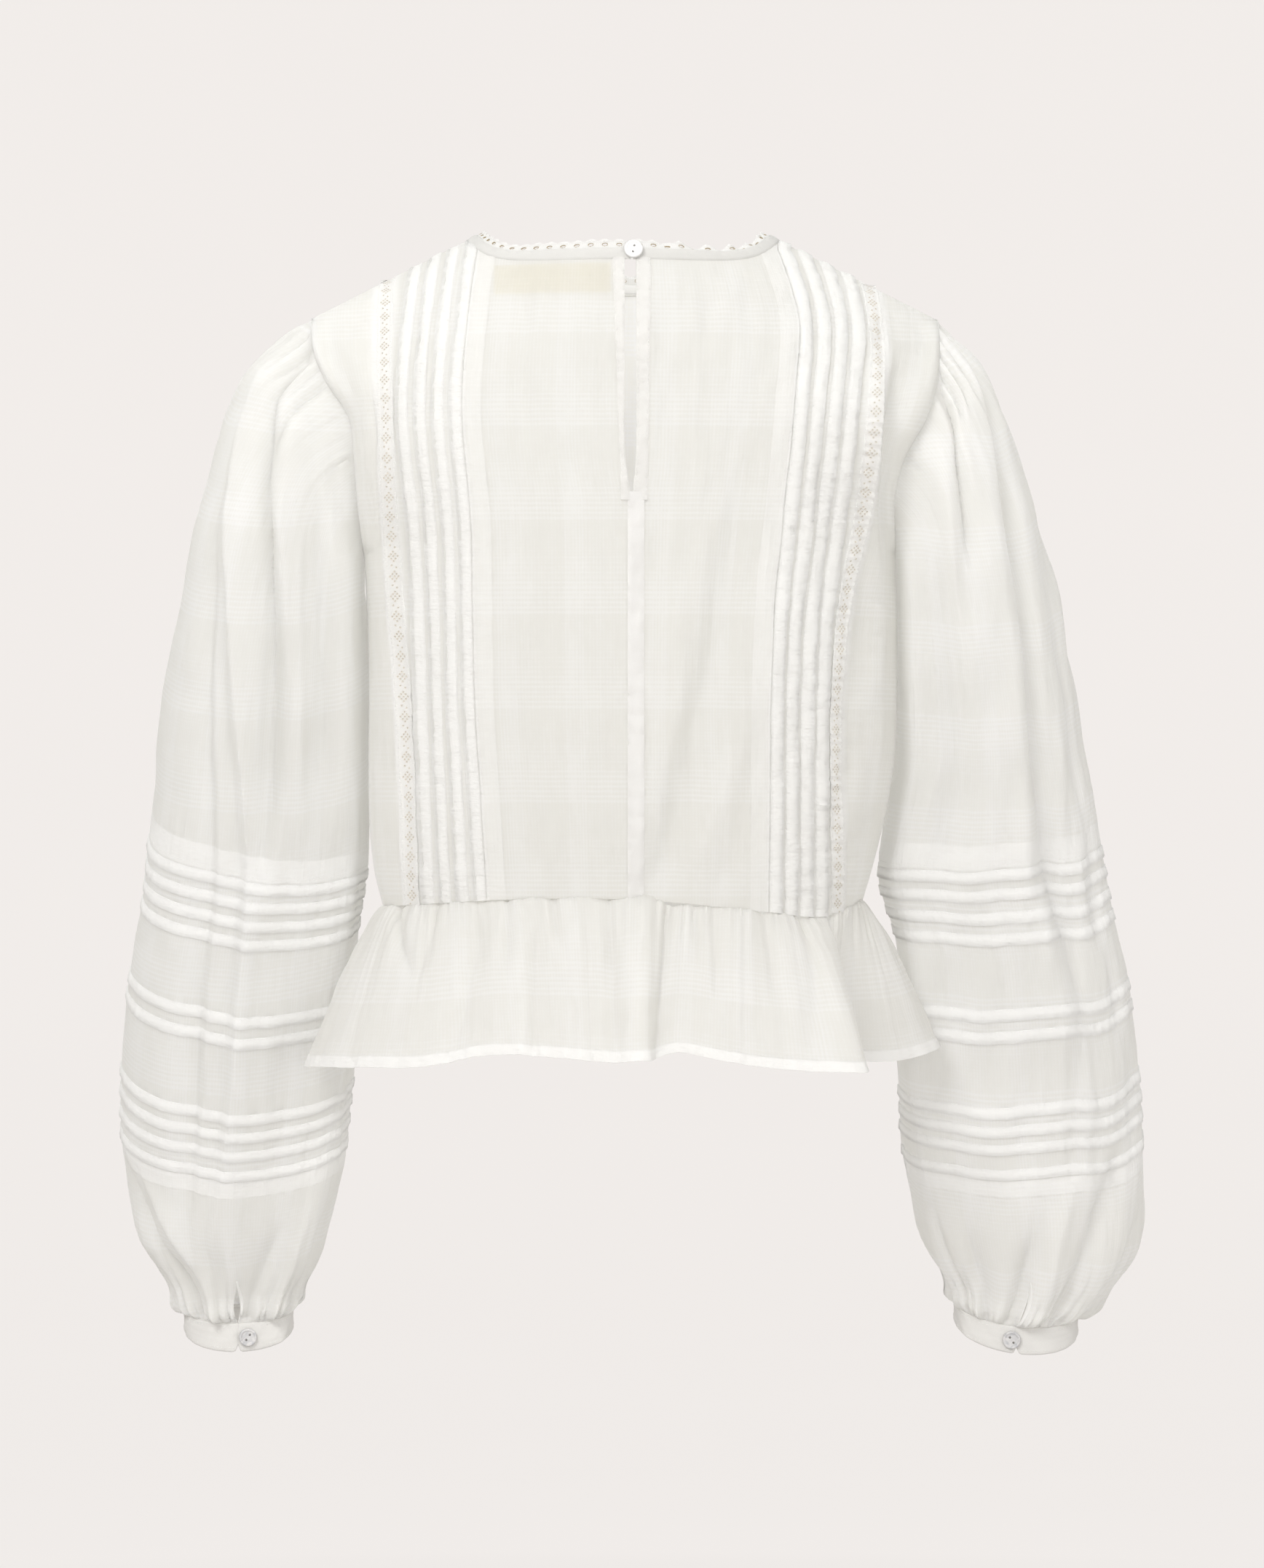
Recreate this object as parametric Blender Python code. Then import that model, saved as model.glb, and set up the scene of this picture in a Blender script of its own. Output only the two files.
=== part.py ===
"""A Victorian-style blouse of fine checked cotton, filled out as if worn.

It opens at the back with a slit and one button under a lace-edged neckband. Each side of the back has
four vertical tucks and a strip of lace, the long full sleeves have ten tucks each and narrow buttoned
cuffs, and a gathered peplum is sewn on at the waist.

Metres, +Z up. The wearer faces +Y, so the back of the blouse faces -Y, and +X is the wearer's right.
The origin lies midway between the shoulders, just below the highest points of the shoulder line.
"""

import math

import bmesh
import bpy
import numpy as np
from mathutils import Matrix, Quaternion, Vector

# Cloth and seams
WALL = 0.0012  # body, sleeve and peplum cloth
LACE_WALL = 0.0010
BAND_WALL = 0.0010  # facings, label and plackets
NECKBAND_WALL = 0.0015
NECKBAND_PROUD = 0.0013  # how far the neckband's face stands off the body's
CUFF_WALL = 0.0020
SEAM = 0.0003  # gap between pieces that are sewn together
ROUND_SEAM = 0.0006  # the same where the seam runs aslant: armholes, neckband, waist and lace


def table(columns, *rows):
    """A table with named columns, each an array down the rows."""
    return dict(zip(columns.split(), np.array(rows, float).T))


# The body's outline, bottom to top. left and right are how far the side seams, and above the underarm the
# armhole edges, stand from the centre line. back and front are how far the body swells to -Y and +Y.
BODY = table(
    "z left right back front",
    (-0.405, 0.1545, 0.1420, 0.086, 0.090),
    (-0.385, 0.1595, 0.1480, 0.090, 0.096),
    (-0.360, 0.1625, 0.1545, 0.095, 0.104),
    (-0.320, 0.1635, 0.1620, 0.101, 0.116),
    (-0.260, 0.1635, 0.1645, 0.107, 0.126),
    (-0.186, 0.1665, 0.1635, 0.109, 0.124),
    (-0.150, 0.1695, 0.1620, 0.108, 0.116),
    (-0.128, 0.1710, 0.1680, 0.106, 0.111),
    (-0.104, 0.1740, 0.1810, 0.103, 0.106),
    (-0.080, 0.1890, 0.1880, 0.100, 0.102),
    (-0.062, 0.1965, 0.1895, 0.098, 0.099),
    (-0.041, 0.1990, 0.1900, 0.096, 0.096),
)
SECTION_POWER = 2.4  # how square the body's sections are
SHOULDER_Z = 0.0085  # the shoulder line where it meets the neck
SHOULDER_SHIFT = -0.0055  # the shoulders sit a little to the left of the waist
SHOULDER_NECK_X = 0.0965  # half the neck's width there
SHOULDER_SLOPE = 0.505
SHOULDER_CREST = 0.025  # rounds the shoulder lines where they would meet inside the neck
SHOULDER_ROUND = {"back": 0.120, "front": 0.110}  # height over which the body curves up to them
TIP_Z = -0.041  # shoulder tip, where shoulder seam and armhole meet
UNDERARM_Z = -0.186
ARMHOLE_OPEN = 0.040  # half the armhole's width, front to back

# Lowest line of the neckband: height at the middle, from where it rises to the shoulder line
NECK_MIDDLE = {"back": -0.0092, "front": -0.0170}
NECK_RISE_POWER = {"back": 8, "front": 3}

# Waist seam of the back, from left to right
WAIST = table(
    "x z",
    (-0.155, -0.4050),
    (-0.080, -0.3997),
    (0.000, -0.3995),
    (0.040, -0.4025),
    (0.080, -0.4070),
    (0.125, -0.4090),
    (0.142, -0.4020),
)

# The back's tucks, bottom to top: where the innermost fold stands, and the step to the next one outwards
TUCKS = table(
    "z left left_step right right_step",
    (-0.410, 0.0955, 0.0107, 0.0914, 0.0095),
    (-0.335, 0.1000, 0.0103, 0.0920, 0.0092),
    (-0.280, 0.1035, 0.0099, 0.0915, 0.0095),
    (-0.239, 0.1042, 0.0100, 0.0927, 0.0096),
    (-0.174, 0.1050, 0.0106, 0.0990, 0.0100),
    (-0.098, 0.1110, 0.0109, 0.1065, 0.0104),
    (-0.041, 0.1075, 0.0111, 0.1091, 0.0110),
    (0.000, 0.1030, 0.0112, 0.0980, 0.0120),
)
TUCK_COUNT = 4
TUCK_WIDTH = 0.0070
TUCK_RISE = 0.0014
TUCK_UNDERCUT = 0.0006  # how far past its fold a tuck drops back to the cloth

# Middle line of the lace strips, bottom to top, and the width that each takes up
LACE = table(
    "z left right right_width",
    (-0.410, 0.1345, 0.1265, 0.0072),
    (-0.335, 0.1365, 0.1250, 0.0074),
    (-0.270, 0.1400, 0.1255, 0.0078),
    (-0.218, 0.1440, 0.1300, 0.0082),
    (-0.160, 0.1480, 0.1400, 0.0092),
    (-0.098, 0.1508, 0.1475, 0.0096),
    (-0.060, 0.1520, 0.1505, 0.0096),
    (-0.025, 0.1520, 0.1475, 0.0096),
    (0.000, 0.1500, 0.1440, 0.0096),
)
LACE_WIDTH = 0.0096

# Back opening
SLIT_TIP_Z = -0.157
SLIT_LEFT = 0.0044
SLIT_RIGHT = 0.0026
SLIT_TAPER = 0.034  # length over which the slit closes to its tip
FACING_OUTER = {"left": (0.0066, 0.0123), "right": (0.0094, 0.0119)}  # outer edge at the tip and the neck
CENTRE_BAND_OUTER = {"left": 0.0026, "right": 0.0075}
LABEL_X = (-0.0841, -0.0130)
LABEL_Z = (-0.0310, -0.0125)

# Neckband and its lace edging
BINDING_HEIGHT = 0.0066
EDGING_HEIGHT = 0.0060
NECK_HALF_GAP = 0.0006  # at the back opening, under the button
NECK_LEAN = (0.89, 0.30, 0.95, 0.45)  # inward at the sides, then at the middle; up there, then at the sides

# Sleeves, top to bottom. down is how far the sleeve's outer line lies below the origin. out and in are
# its outer and inner lines' distances from the centre, in_down the inner line's height, mid the section's
# middle in Y, half its half depth, and dip how far its rear hangs lower than its sides.
SLEEVE = {
    "left": table(
        "down out in in_down mid half dip",
        (0.041, 0.1993, 0.1671, 0.1865, 0.000, 0.041, 0.000),
        (0.059, 0.2270, 0.1680, 0.1935, 0.002, 0.049, 0.000),
        (0.095, 0.2510, 0.1682, 0.2060, 0.006, 0.055, 0.001),
        (0.149, 0.2680, 0.1676, 0.2300, 0.011, 0.057, 0.003),
        (0.203, 0.2800, 0.1670, 0.2600, 0.017, 0.057, 0.005),
        (0.250, 0.2895, 0.1664, 0.2900, 0.023, 0.056, 0.006),
        (0.294, 0.2965, 0.1660, 0.3210, 0.030, 0.055, 0.007),
        (0.334, 0.3010, 0.1658, 0.3550, 0.038, 0.054, 0.008),
        (0.380, 0.3060, 0.1690, 0.3960, 0.049, 0.053, 0.009),
        (0.425, 0.3140, 0.1740, 0.4370, 0.060, 0.053, 0.010),
        (0.463, 0.3205, 0.1758, 0.4730, 0.070, 0.053, 0.012),
        (0.500, 0.3235, 0.1765, 0.5080, 0.080, 0.053, 0.013),
        (0.525, 0.3245, 0.1790, 0.5310, 0.086, 0.053, 0.014),
        (0.554, 0.3242, 0.1823, 0.5580, 0.092, 0.052, 0.013),
        (0.592, 0.3207, 0.1892, 0.5940, 0.098, 0.049, 0.011),
        (0.611, 0.3160, 0.1937, 0.6120, 0.100, 0.046, 0.010),
        (0.630, 0.3073, 0.1990, 0.6300, 0.102, 0.041, 0.009),
        (0.649, 0.2968, 0.2089, 0.6480, 0.104, 0.035, 0.008),
        (0.666, 0.2860, 0.2180, 0.6655, 0.105, 0.031, 0.006),
    ),
    "right": table(
        "down out in in_down mid half dip",
        (0.041, 0.1903, 0.1641, 0.1865, 0.000, 0.041, 0.000),
        (0.059, 0.2097, 0.1655, 0.1935, 0.002, 0.048, 0.000),
        (0.095, 0.2300, 0.1662, 0.2060, 0.006, 0.054, 0.000),
        (0.149, 0.2486, 0.1665, 0.2300, 0.011, 0.056, 0.001),
        (0.203, 0.2645, 0.1668, 0.2600, 0.017, 0.056, 0.002),
        (0.250, 0.2740, 0.1672, 0.2900, 0.023, 0.055, 0.002),
        (0.294, 0.2819, 0.1668, 0.3180, 0.030, 0.054, 0.002),
        (0.344, 0.2915, 0.1605, 0.3500, 0.040, 0.053, 0.002),
        (0.385, 0.2985, 0.1560, 0.3900, 0.050, 0.053, 0.002),
        (0.425, 0.3075, 0.1665, 0.4280, 0.060, 0.053, 0.004),
        (0.469, 0.3165, 0.1685, 0.4730, 0.071, 0.053, 0.006),
        (0.500, 0.3215, 0.1690, 0.5050, 0.080, 0.053, 0.008),
        (0.526, 0.3238, 0.1700, 0.5300, 0.086, 0.053, 0.011),
        (0.554, 0.3256, 0.1730, 0.5560, 0.092, 0.052, 0.011),
        (0.592, 0.3281, 0.1795, 0.5920, 0.098, 0.050, 0.010),
        (0.611, 0.3270, 0.1834, 0.6100, 0.100, 0.048, 0.010),
        (0.630, 0.3215, 0.1901, 0.6270, 0.102, 0.044, 0.010),
        (0.649, 0.3080, 0.1996, 0.6450, 0.104, 0.038, 0.010),
        (0.668, 0.2848, 0.2072, 0.6600, 0.105, 0.033, 0.010),
    ),
}
ARMHOLE_BLEND = 0.060  # length over which the sleeve's sections leave the armhole's shape
SLEEVE_TUCKS = {
    "left": (0.380, 0.392, 0.404, 0.416, 0.463, 0.476, 0.525, 0.537, 0.550, 0.564),
    "right": (0.385, 0.397, 0.411, 0.424, 0.469, 0.482, 0.526, 0.538, 0.550, 0.567),
}
SLEEVE_TUCK_GROUPS = (4, 2, 4)
SLEEVE_TUCK_WIDTH = 0.0066
# The sleeves' long folds: degrees round the section (0 outer, 90 rear, 180 inner), the stretch that each
# one runs over, its height, negative in a trough, and its width in degrees
SLEEVE_FOLDS = {
    "left": table(
        "turn start end lift width",
        (60, 0.060, 0.640, 0.0035, 14),
        (80, 0.050, 0.230, -0.0050, 12),
        (250, 0.060, 0.600, 0.0030, 18),
    ),
    "right": table(
        "turn start end lift width",
        (56, 0.050, 0.640, -0.0045, 13),
        (78, 0.060, 0.400, 0.0030, 14),
        (290, 0.060, 0.600, 0.0030, 18),
    ),
}
FOLD_FADE = 0.050

# Sleeve slits and cuffs. Angles are round the section as above.
SLIT_TURN = 93.0
SLEEVE_SLIT = 0.030  # length
SLEEVE_SLIT_OPEN = 0.0030  # width at the cuff
PLACKET_WIDTH = 0.0030
PLACKET_OUT = 0.0005  # its gap to the cloth it lies on
CUFF_SIDE_HEIGHT = 0.0125
CUFF_REAR_HEIGHT = {"left": 0.0185, "right": 0.0175}
CUFF_NOTCH = 0.0008
BUTTON_TURN = {"left": 103.0, "right": 97.0}

# The peplum's hem: degrees round from the middle of the back towards +X, distance from the centre, height
HEM = table(
    "turn radius z",
    (-180, 0.122, -0.4970),
    (-160, 0.125, -0.4980),
    (-140, 0.133, -0.4960),
    (-120, 0.156, -0.4990),
    (-106, 0.184, -0.5020),
    (-90, 0.203, -0.5045),
    (-76, 0.194, -0.5030),
    (-65, 0.181, -0.5018),
    (-51, 0.163, -0.5000),
    (-40, 0.148, -0.4935),
    (-28, 0.137, -0.4918),
    (-18, 0.131, -0.4940),
    (-6, 0.130, -0.4960),
    (4, 0.134, -0.4955),
    (13, 0.121, -0.4905),
    (22, 0.134, -0.4948),
    (34, 0.148, -0.5000),
    (43, 0.168, -0.5020),
    (49, 0.184, -0.5027),
    (56, 0.170, -0.5020),
    (64, 0.138, -0.5000),
    (72, 0.140, -0.5000),
    (82, 0.168, -0.5000),
    (93, 0.192, -0.4940),
    (106, 0.182, -0.4960),
    (120, 0.156, -0.4990),
    (140, 0.133, -0.4960),
    (160, 0.125, -0.4980),
    (180, 0.122, -0.4970),
)
PEPLUM_FLARE = 0.75  # below 1, the peplum flares most just under the waist
HEM_WIDTH = 0.0066
HEM_RISE = 0.0006
PEPLUM_SEAM_TURNS = (-88.0, 92.0)

# Buttons
BUTTON_RADIUS = 0.0057
BUTTON_THICK = 0.0022
BUTTON_RIM = 0.0012
BUTTON_DISH = 0.0004
BUTTON_HOLE_RADIUS = 0.0008
BUTTON_HOLE_STEP = 0.0040
BUTTON_SEAT = 0.0005
BUTTON_RISE = 0.0045  # height of the neck button's middle above the neckline
NECK_BUTTON_TILT = -13.0  # degrees, of the line through its holes
CUFF_BUTTON_TILT = 35.0
BUTTON_SIDES = 18
HOLE_SIDES = 8

# How finely the cloth is divided
BODY_ROWS_BELOW_ARM = (-0.365, -0.310, -0.245)
PLAIN_CLEAR = 0.03  # least share of the plain cloth's width between its last column and the tucks
SIDE_COLUMNS = 4
SLEEVE_TURNS = (0, 26, 50, 72, 114, 136, 158, 180, 204, 230, 256, 281, 306, 333)
NECK_TURNS = {"back": (16, 32, 46, 58, 68, 79), "front": (180, 152, 130, 110, 98, 90)}
SHOULDER_COLUMNS = 3
PEPLUM_STEP = 10.0  # degrees
PEPLUM_ROWS = (0.0, 0.25, 0.6)

COLOURS = {
    "cloth": (0.80, 0.77, 0.70),
    "tucked_cloth": (0.84, 0.82, 0.76),
    "lace": (0.78, 0.75, 0.68),
    "band": (0.88, 0.86, 0.81),
    "label": (0.80, 0.73, 0.58),
    "neck_button": (0.90, 0.89, 0.86),
    "cuff_button": (0.42, 0.46, 0.52),
}
KINDS = {
    "back_left": "tucked_cloth",
    "back_right": "tucked_cloth",
    "lace_strip_left": "lace",
    "lace_strip_right": "lace",
    "neck_lace_edging": "lace",
    "neck_binding": "band",
    "slit_facing_left": "band",
    "slit_facing_right": "band",
    "centre_back_band": "band",
    "cuff_left": "band",
    "cuff_right": "band",
    "placket_left": "band",
    "placket_right": "band",
    "neck_label": "label",
    "neck_button": "neck_button",
    "cuff_button_left": "cuff_button",
    "cuff_button_right": "cuff_button",
}


def read(source, column, at, key="z"):
    """A soft curve through one column of a table, read at one or more places."""
    keys, values = source[key], source[column]
    slopes = np.gradient(values, keys)
    at = np.clip(at, keys[0], keys[-1])
    i = np.clip(np.searchsorted(keys, at, side="right") - 1, 0, len(keys) - 2)
    span = keys[i + 1] - keys[i]
    t = (at - keys[i]) / span
    rise = values[i + 1] - values[i]
    start, end = slopes[i] * span, slopes[i + 1] * span
    return values[i] + t * (start + t * (3 * rise - 2 * start - end + t * (start + end - 2 * rise)))


def side_of(x):
    return "left" if x < 0 else "right"


def sign_of(side):
    return -1 if side == "left" else 1


def edge_x(side, z):
    """How far the side seam, or the armhole's edge, stands from the centre line."""
    return float(read(BODY, side, min(z, TIP_Z)))


def armhole_open(z):
    """Half the armhole's width at a height; 0 below the underarm and above the shoulder tip."""
    middle, reach = (TIP_Z + UNDERARM_Z) / 2, (TIP_Z - UNDERARM_Z) / 2
    share = (z - middle) / reach
    return ARMHOLE_OPEN * math.sqrt(max(0.0, 1 - share * share))


def shoulder_z(x):
    """Height of the shoulder line, and of its run on inside the neck."""
    out = math.hypot(x - SHOULDER_SHIFT, SHOULDER_CREST)
    return SHOULDER_Z - SHOULDER_SLOPE * (out - math.hypot(SHOULDER_NECK_X, SHOULDER_CREST))


def body_point(face, x, z):
    """A point of the body's outer surface, on the back or the front."""
    across = min(abs(x) / edge_x(side_of(x), z), 1.0)
    below = min(max((shoulder_z(x) - z) / SHOULDER_ROUND[face], 0.0), 1.0)
    crown = float(read(BODY, face, z)) * math.sqrt(1 - (1 - below) ** 2)
    edge = armhole_open(z)
    y = SEAM / 2 + edge + (crown - edge) * math.sqrt(1 - across**SECTION_POWER)
    return np.array((x, -y if face == "back" else y, z))


def neck_z(face, x):
    """Height of the neckband's seam."""
    across = min(abs(x - SHOULDER_SHIFT) / SHOULDER_NECK_X, 1.0)
    middle = NECK_MIDDLE[face]
    return middle + (SHOULDER_Z - middle) * across ** NECK_RISE_POWER[face]


def top_z(face, x):
    """Height of a body panel's top edge: neckline, then shoulder line."""
    if abs(x - SHOULDER_SHIFT) < SHOULDER_NECK_X:
        return neck_z(face, x)
    return shoulder_z(x)


def waist_z(face, x):
    """Height of the waist seam."""
    if face == "back":
        return float(read(WAIST, "z", x, "x"))
    return float(np.interp(x, (WAIST["x"][0], WAIST["x"][-1]), (WAIST["z"][0], WAIST["z"][-1])))


def armhole_z(turn):
    """Height of the armhole's edge at an angle round it, 0 at the shoulder tip and 180 at the underarm."""
    return (TIP_Z + UNDERARM_Z) / 2 + (TIP_Z - UNDERARM_Z) / 2 * math.cos(math.radians(turn))


def body_shares(face):
    """Where the body's rows lie, 0 at the waist and 1 at the top; up the armhole they meet the sleeve."""
    if face == "back":
        turns = [*(t for t in SLEEVE_TURNS if t <= 180), SLIT_TURN]
    else:
        turns = [360 - t for t in SLEEVE_TURNS if t >= 180] + [0]
    heights = [WAIST["z"][0], *BODY_ROWS_BELOW_ARM, *(armhole_z(t) for t in sorted(turns, reverse=True))]
    return [(z - heights[0]) / (heights[-1] - heights[0]) for z in heights]


def column_top(face, line):
    """Where a column of a body panel, given as x at a height, meets the panel's top edge."""
    z = top_z(face, line(0.0))
    for _ in range(30):
        z = (z + top_z(face, line(z))) / 2
    return z


def body_grid(face, lines):
    """Points of the body's surface, rows from bottom to top, one column for each line."""
    columns = []
    for line in lines:
        low, high = waist_z(face, line(WAIST["z"][0])), column_top(face, line)
        heights = [low + share * (high - low) for share in body_shares(face)]
        columns.append([body_point(face, line(z), z) for z in heights])
    return np.array(columns).transpose(1, 0, 2)


def normals(grid, wrap=False):
    """Unit normals of a grid of points; they point to the left of the columns' run seen from the rows'."""
    if wrap:
        across = np.gradient(np.concatenate([grid[:, -1:], grid, grid[:, :1]], 1), axis=1)[:, 1:-1]
    else:
        across = np.gradient(grid, axis=1)
    along = np.gradient(grid, axis=0)
    n = np.cross(across, along)
    return n / np.linalg.norm(n, axis=2, keepdims=True)


def outward(grid, centre, wrap=False):
    """Normals of a grid, turned to point away from a centre line (x and y)."""
    n = normals(grid, wrap)
    away = grid[..., :2] - np.array(centre)
    return n if np.sum(n[..., :2] * away) > 0 else -n


def square_ends(grid, n):
    """Normals of a body panel, squared up where it meets the other face, so that the two walls line up."""
    n = n.copy()
    n[np.abs(grid[..., 1]) < 2 * SEAM, 1] = 0
    return n / np.linalg.norm(n, axis=2, keepdims=True)


def material(name):
    """The plain finish of one piece."""
    m = bpy.data.materials.new(name)
    m.use_nodes = True
    shader = m.node_tree.nodes["Principled BSDF"]
    kind = KINDS.get(name, "cloth")
    shader.inputs["Base Color"].default_value = (*COLOURS[kind], 1)
    shader.inputs["Roughness"].default_value = 0.35 if "button" in kind else 0.85
    shader.inputs["Metallic"].default_value = 0.0
    return m


def new_object(name, mesh):
    piece = bpy.data.objects.new(name, mesh)
    bpy.context.scene.collection.objects.link(piece)
    mesh.materials.append(material(name))
    return piece


def wall(name, outer, inner, wrap=False, skip=()):
    """A closed wall between an outer and an inner grid. skip holds the (row, column) cells left open."""
    rows, columns = outer.shape[:2]
    count = rows * columns
    across = columns if wrap else columns - 1
    cells = [(i, j) for i in range(rows - 1) for j in range(across) if (i, j) not in skip]
    sheet = []
    for i, j in cells:
        k = (j + 1) % columns
        a, b, c, d = i * columns + j, i * columns + k, (i + 1) * columns + k, (i + 1) * columns + j
        falling = np.linalg.norm(outer[i, j] - outer[i + 1, k])
        rising = np.linalg.norm(outer[i, k] - outer[i + 1, j])
        sheet += [[a, b, c], [a, c, d]] if falling < rising else [[a, b, d], [b, c, d]]
    rim = {}
    for face in sheet:
        for a, b in zip(face, face[1:] + face[:1]):
            if rim.pop((b, a), None) is None:
                rim[a, b] = True
    faces = sheet + [[v + count for v in reversed(face)] for face in sheet]
    faces += [[b, a, a + count, b + count] for a, b in rim]
    points = np.concatenate([outer.reshape(-1, 3), inner.reshape(-1, 3)])
    mesh = bpy.data.meshes.new(name)
    mesh.from_pydata([tuple(p) for p in points], [], faces)
    tidy = bmesh.new()
    tidy.from_mesh(mesh)
    bmesh.ops.delete(tidy, geom=[v for v in tidy.verts if not v.link_faces], context="VERTS")
    bmesh.ops.recalc_face_normals(tidy, faces=tidy.faces[:])
    tidy.to_mesh(mesh)
    tidy.free()
    mesh.shade_smooth()
    mesh.set_sharp_from_angle(angle=math.radians(40))
    return new_object(name, mesh)


def body_wall(name, face, lines, lifts=0.0, thick=WALL):
    """A wall on the body's surface. lifts raises the outside of each column."""
    grid = body_grid(face, lines)
    n = square_ends(grid, outward(grid, (0, 0)))
    raised = grid + n * np.broadcast_to(lifts, len(lines))[None, :, None]
    wall(name, raised, grid - n * thick)


def slit_x(side, z):
    """x of the slit's edge, or of the centre seam below it."""
    share = min(max((z - SLIT_TIP_Z) / SLIT_TAPER, 0.0), 1.0)
    reach = SLIT_LEFT if side == "left" else SLIT_RIGHT
    return sign_of(side) * max(SEAM / 2, reach * math.sin(share * math.pi / 2))


def tuck_x(side, index, z):
    """x of a tuck's folded edge, counted outwards from the innermost."""
    return sign_of(side) * float(read(TUCKS, side, z) + index * read(TUCKS, side + "_step", z))


def lace_x(side, z, end):
    """x of a lace strip's inner (end -1) or outer (end +1) edge."""
    width = float(read(LACE, "right_width", z)) if side == "right" else LACE_WIDTH
    return sign_of(side) * (float(read(LACE, side, z)) + end * width / 2)


def between(first, last, share):
    """A line part of the way from one line to another."""
    return lambda z: first(z) + share * (last(z) - first(z))


def plain_lines(side):
    """Columns of the plain cloth from the centre seam to the first tuck, set by the neckband's own."""
    sign = sign_of(side)
    first = lambda z: slit_x(side, z)
    stitch = lambda z: tuck_x(side, 0, z) - sign * TUCK_WIDTH
    lines = [first]
    for turn in NECK_TURNS["back"]:
        x = neck_x(sign * turn)
        z = neck_z("back", x)
        share = (x - first(z)) / (stitch(z) - first(z))
        if share < 1 - PLAIN_CLEAR:
            lines.append(between(first, stitch, share))
    return lines + [stitch]


def back_panel(side):
    """The back's main panel on one side: plain cloth by the centre seam, then the tucks up to the lace."""
    sign = sign_of(side)
    lines = plain_lines(side)
    lifts = [0.0] * len(lines)
    for index in range(TUCK_COUNT):
        for offset, lift in ((0.0, TUCK_RISE), (TUCK_UNDERCUT, 0.0)):
            lines.append(lambda z, k=index, o=offset: tuck_x(side, k, z) + sign * o)
            lifts.append(lift)
    lines.append(lambda z: lace_x(side, z, -1) - sign * ROUND_SEAM)
    body_wall("back_" + side, "back", lines, lifts + [0.0])


def lace_strip(side):
    lines = [lambda z: lace_x(side, z, -1), lambda z: lace_x(side, z, 1)]
    body_wall("lace_strip_" + side, "back", lines, thick=LACE_WALL)


def side_line(side, start, share):
    """A line of the side panel, spaced evenly round the curve of the body."""

    def line(z):
        reach = edge_x(side, z)
        angle = math.asin(min(abs(start(z)) / reach, 1.0)) if start else 0.0
        return sign_of(side) * reach * math.sin(angle + share * (math.pi / 2 - angle))

    return line


def side_panel(side):
    """From the lace round to the side seam and the armhole."""
    start = lambda z: lace_x(side, z, 1) + sign_of(side) * ROUND_SEAM
    lines = [side_line(side, start, share) for share in np.linspace(0, 1, SIDE_COLUMNS + 1)]
    body_wall("back_side_" + side, "back", lines)


def front_panel():
    """All the front, its columns set by the neckline and then spaced out along the shoulders."""
    halves = []
    for side in ("left", "right"):
        tip = edge_x(side, TIP_Z)
        xs = [abs(neck_x(sign_of(side) * turn)) for turn in NECK_TURNS["front"]]
        neck = [math.asin(x / tip) / (math.pi / 2) for x in xs]
        shares = neck + list(np.linspace(neck[-1], 1, SHOULDER_COLUMNS + 1)[1:])
        halves.append([side_line(side, None, share) for share in shares])
    body_wall("front", "front", halves[0][::-1] + halves[1][1:])


def row_at_x(points, x):
    """The place on a row of points, going straight from one to the next, that lies at an x."""
    order = np.argsort(points[:, 0])
    return np.array([np.interp(x, points[order, 0], points[order, k]) for k in range(3)])


def underarm_row():
    """The body row that meets the underarm, where the back opening's facings end."""
    return len(BODY_ROWS_BELOW_ARM) + 1


def strip(name, rows, out):
    """A thin piece on the plain cloth, built from rows of its points; below 0, out puts it inside."""
    grid = np.array(rows)
    n = outward(grid, (0, 0))
    wall(name, grid + n * (out + BAND_WALL), grid + n * out)


def facing(side):
    """The turned strip down one side of the slit."""
    panel = body_grid("back", plain_lines(side))[underarm_row():, :, :]
    panel[-1, :, 2] -= SEAM
    rows = []
    for points in panel:
        outer = np.interp(points[0, 2], (SLIT_TIP_Z, 0.0), FACING_OUTER[side])
        rows.append([points[0], row_at_x(points, sign_of(side) * outer)])
    strip("slit_facing_" + side, rows, ROUND_SEAM)


def centre_back_band():
    """The band that covers the seam below the opening, from the facings to the waist."""
    panels = [body_grid("back", plain_lines(side))[: underarm_row() + 1] for side in ("left", "right")]
    rows = []
    for left, right in zip(*panels):
        ends = row_at_x(left, -CENTRE_BAND_OUTER["left"]), row_at_x(right, CENTRE_BAND_OUTER["right"])
        rows.append([ends[0], (left[0] + right[0]) / 2, ends[1]])
    rows[-1] = [point - (0, 0, SEAM) for point in rows[-1]]
    strip("centre_back_band", rows, ROUND_SEAM)


def neck_label():
    """The blank label inside the back of the neck, left of the opening."""
    panel = body_grid("back", plain_lines("left"))
    xs = [LABEL_X[0], *(x for x in sorted(panel[-2, :, 0]) if LABEL_X[0] < x < LABEL_X[1]), LABEL_X[1]]
    columns = [np.array([row_at_x(points, x) for points in panel]) for x in xs]
    middle = panel[-2, 0, 2]
    rows = [[row_at_height(column, z) for column in columns] for z in (LABEL_Z[0], middle, LABEL_Z[1])]
    strip("neck_label", rows, -WALL - SEAM - BAND_WALL)


def row_at_height(points, z):
    """The place on a column of points that lies at a height."""
    return np.array([np.interp(z, points[:, 2], points[:, k]) for k in range(3)])


def neck_x(turn):
    """x of the neckline at an angle from the middle of the back."""
    return SHOULDER_SHIFT + SHOULDER_NECK_X * math.sin(math.radians(turn))


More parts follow.
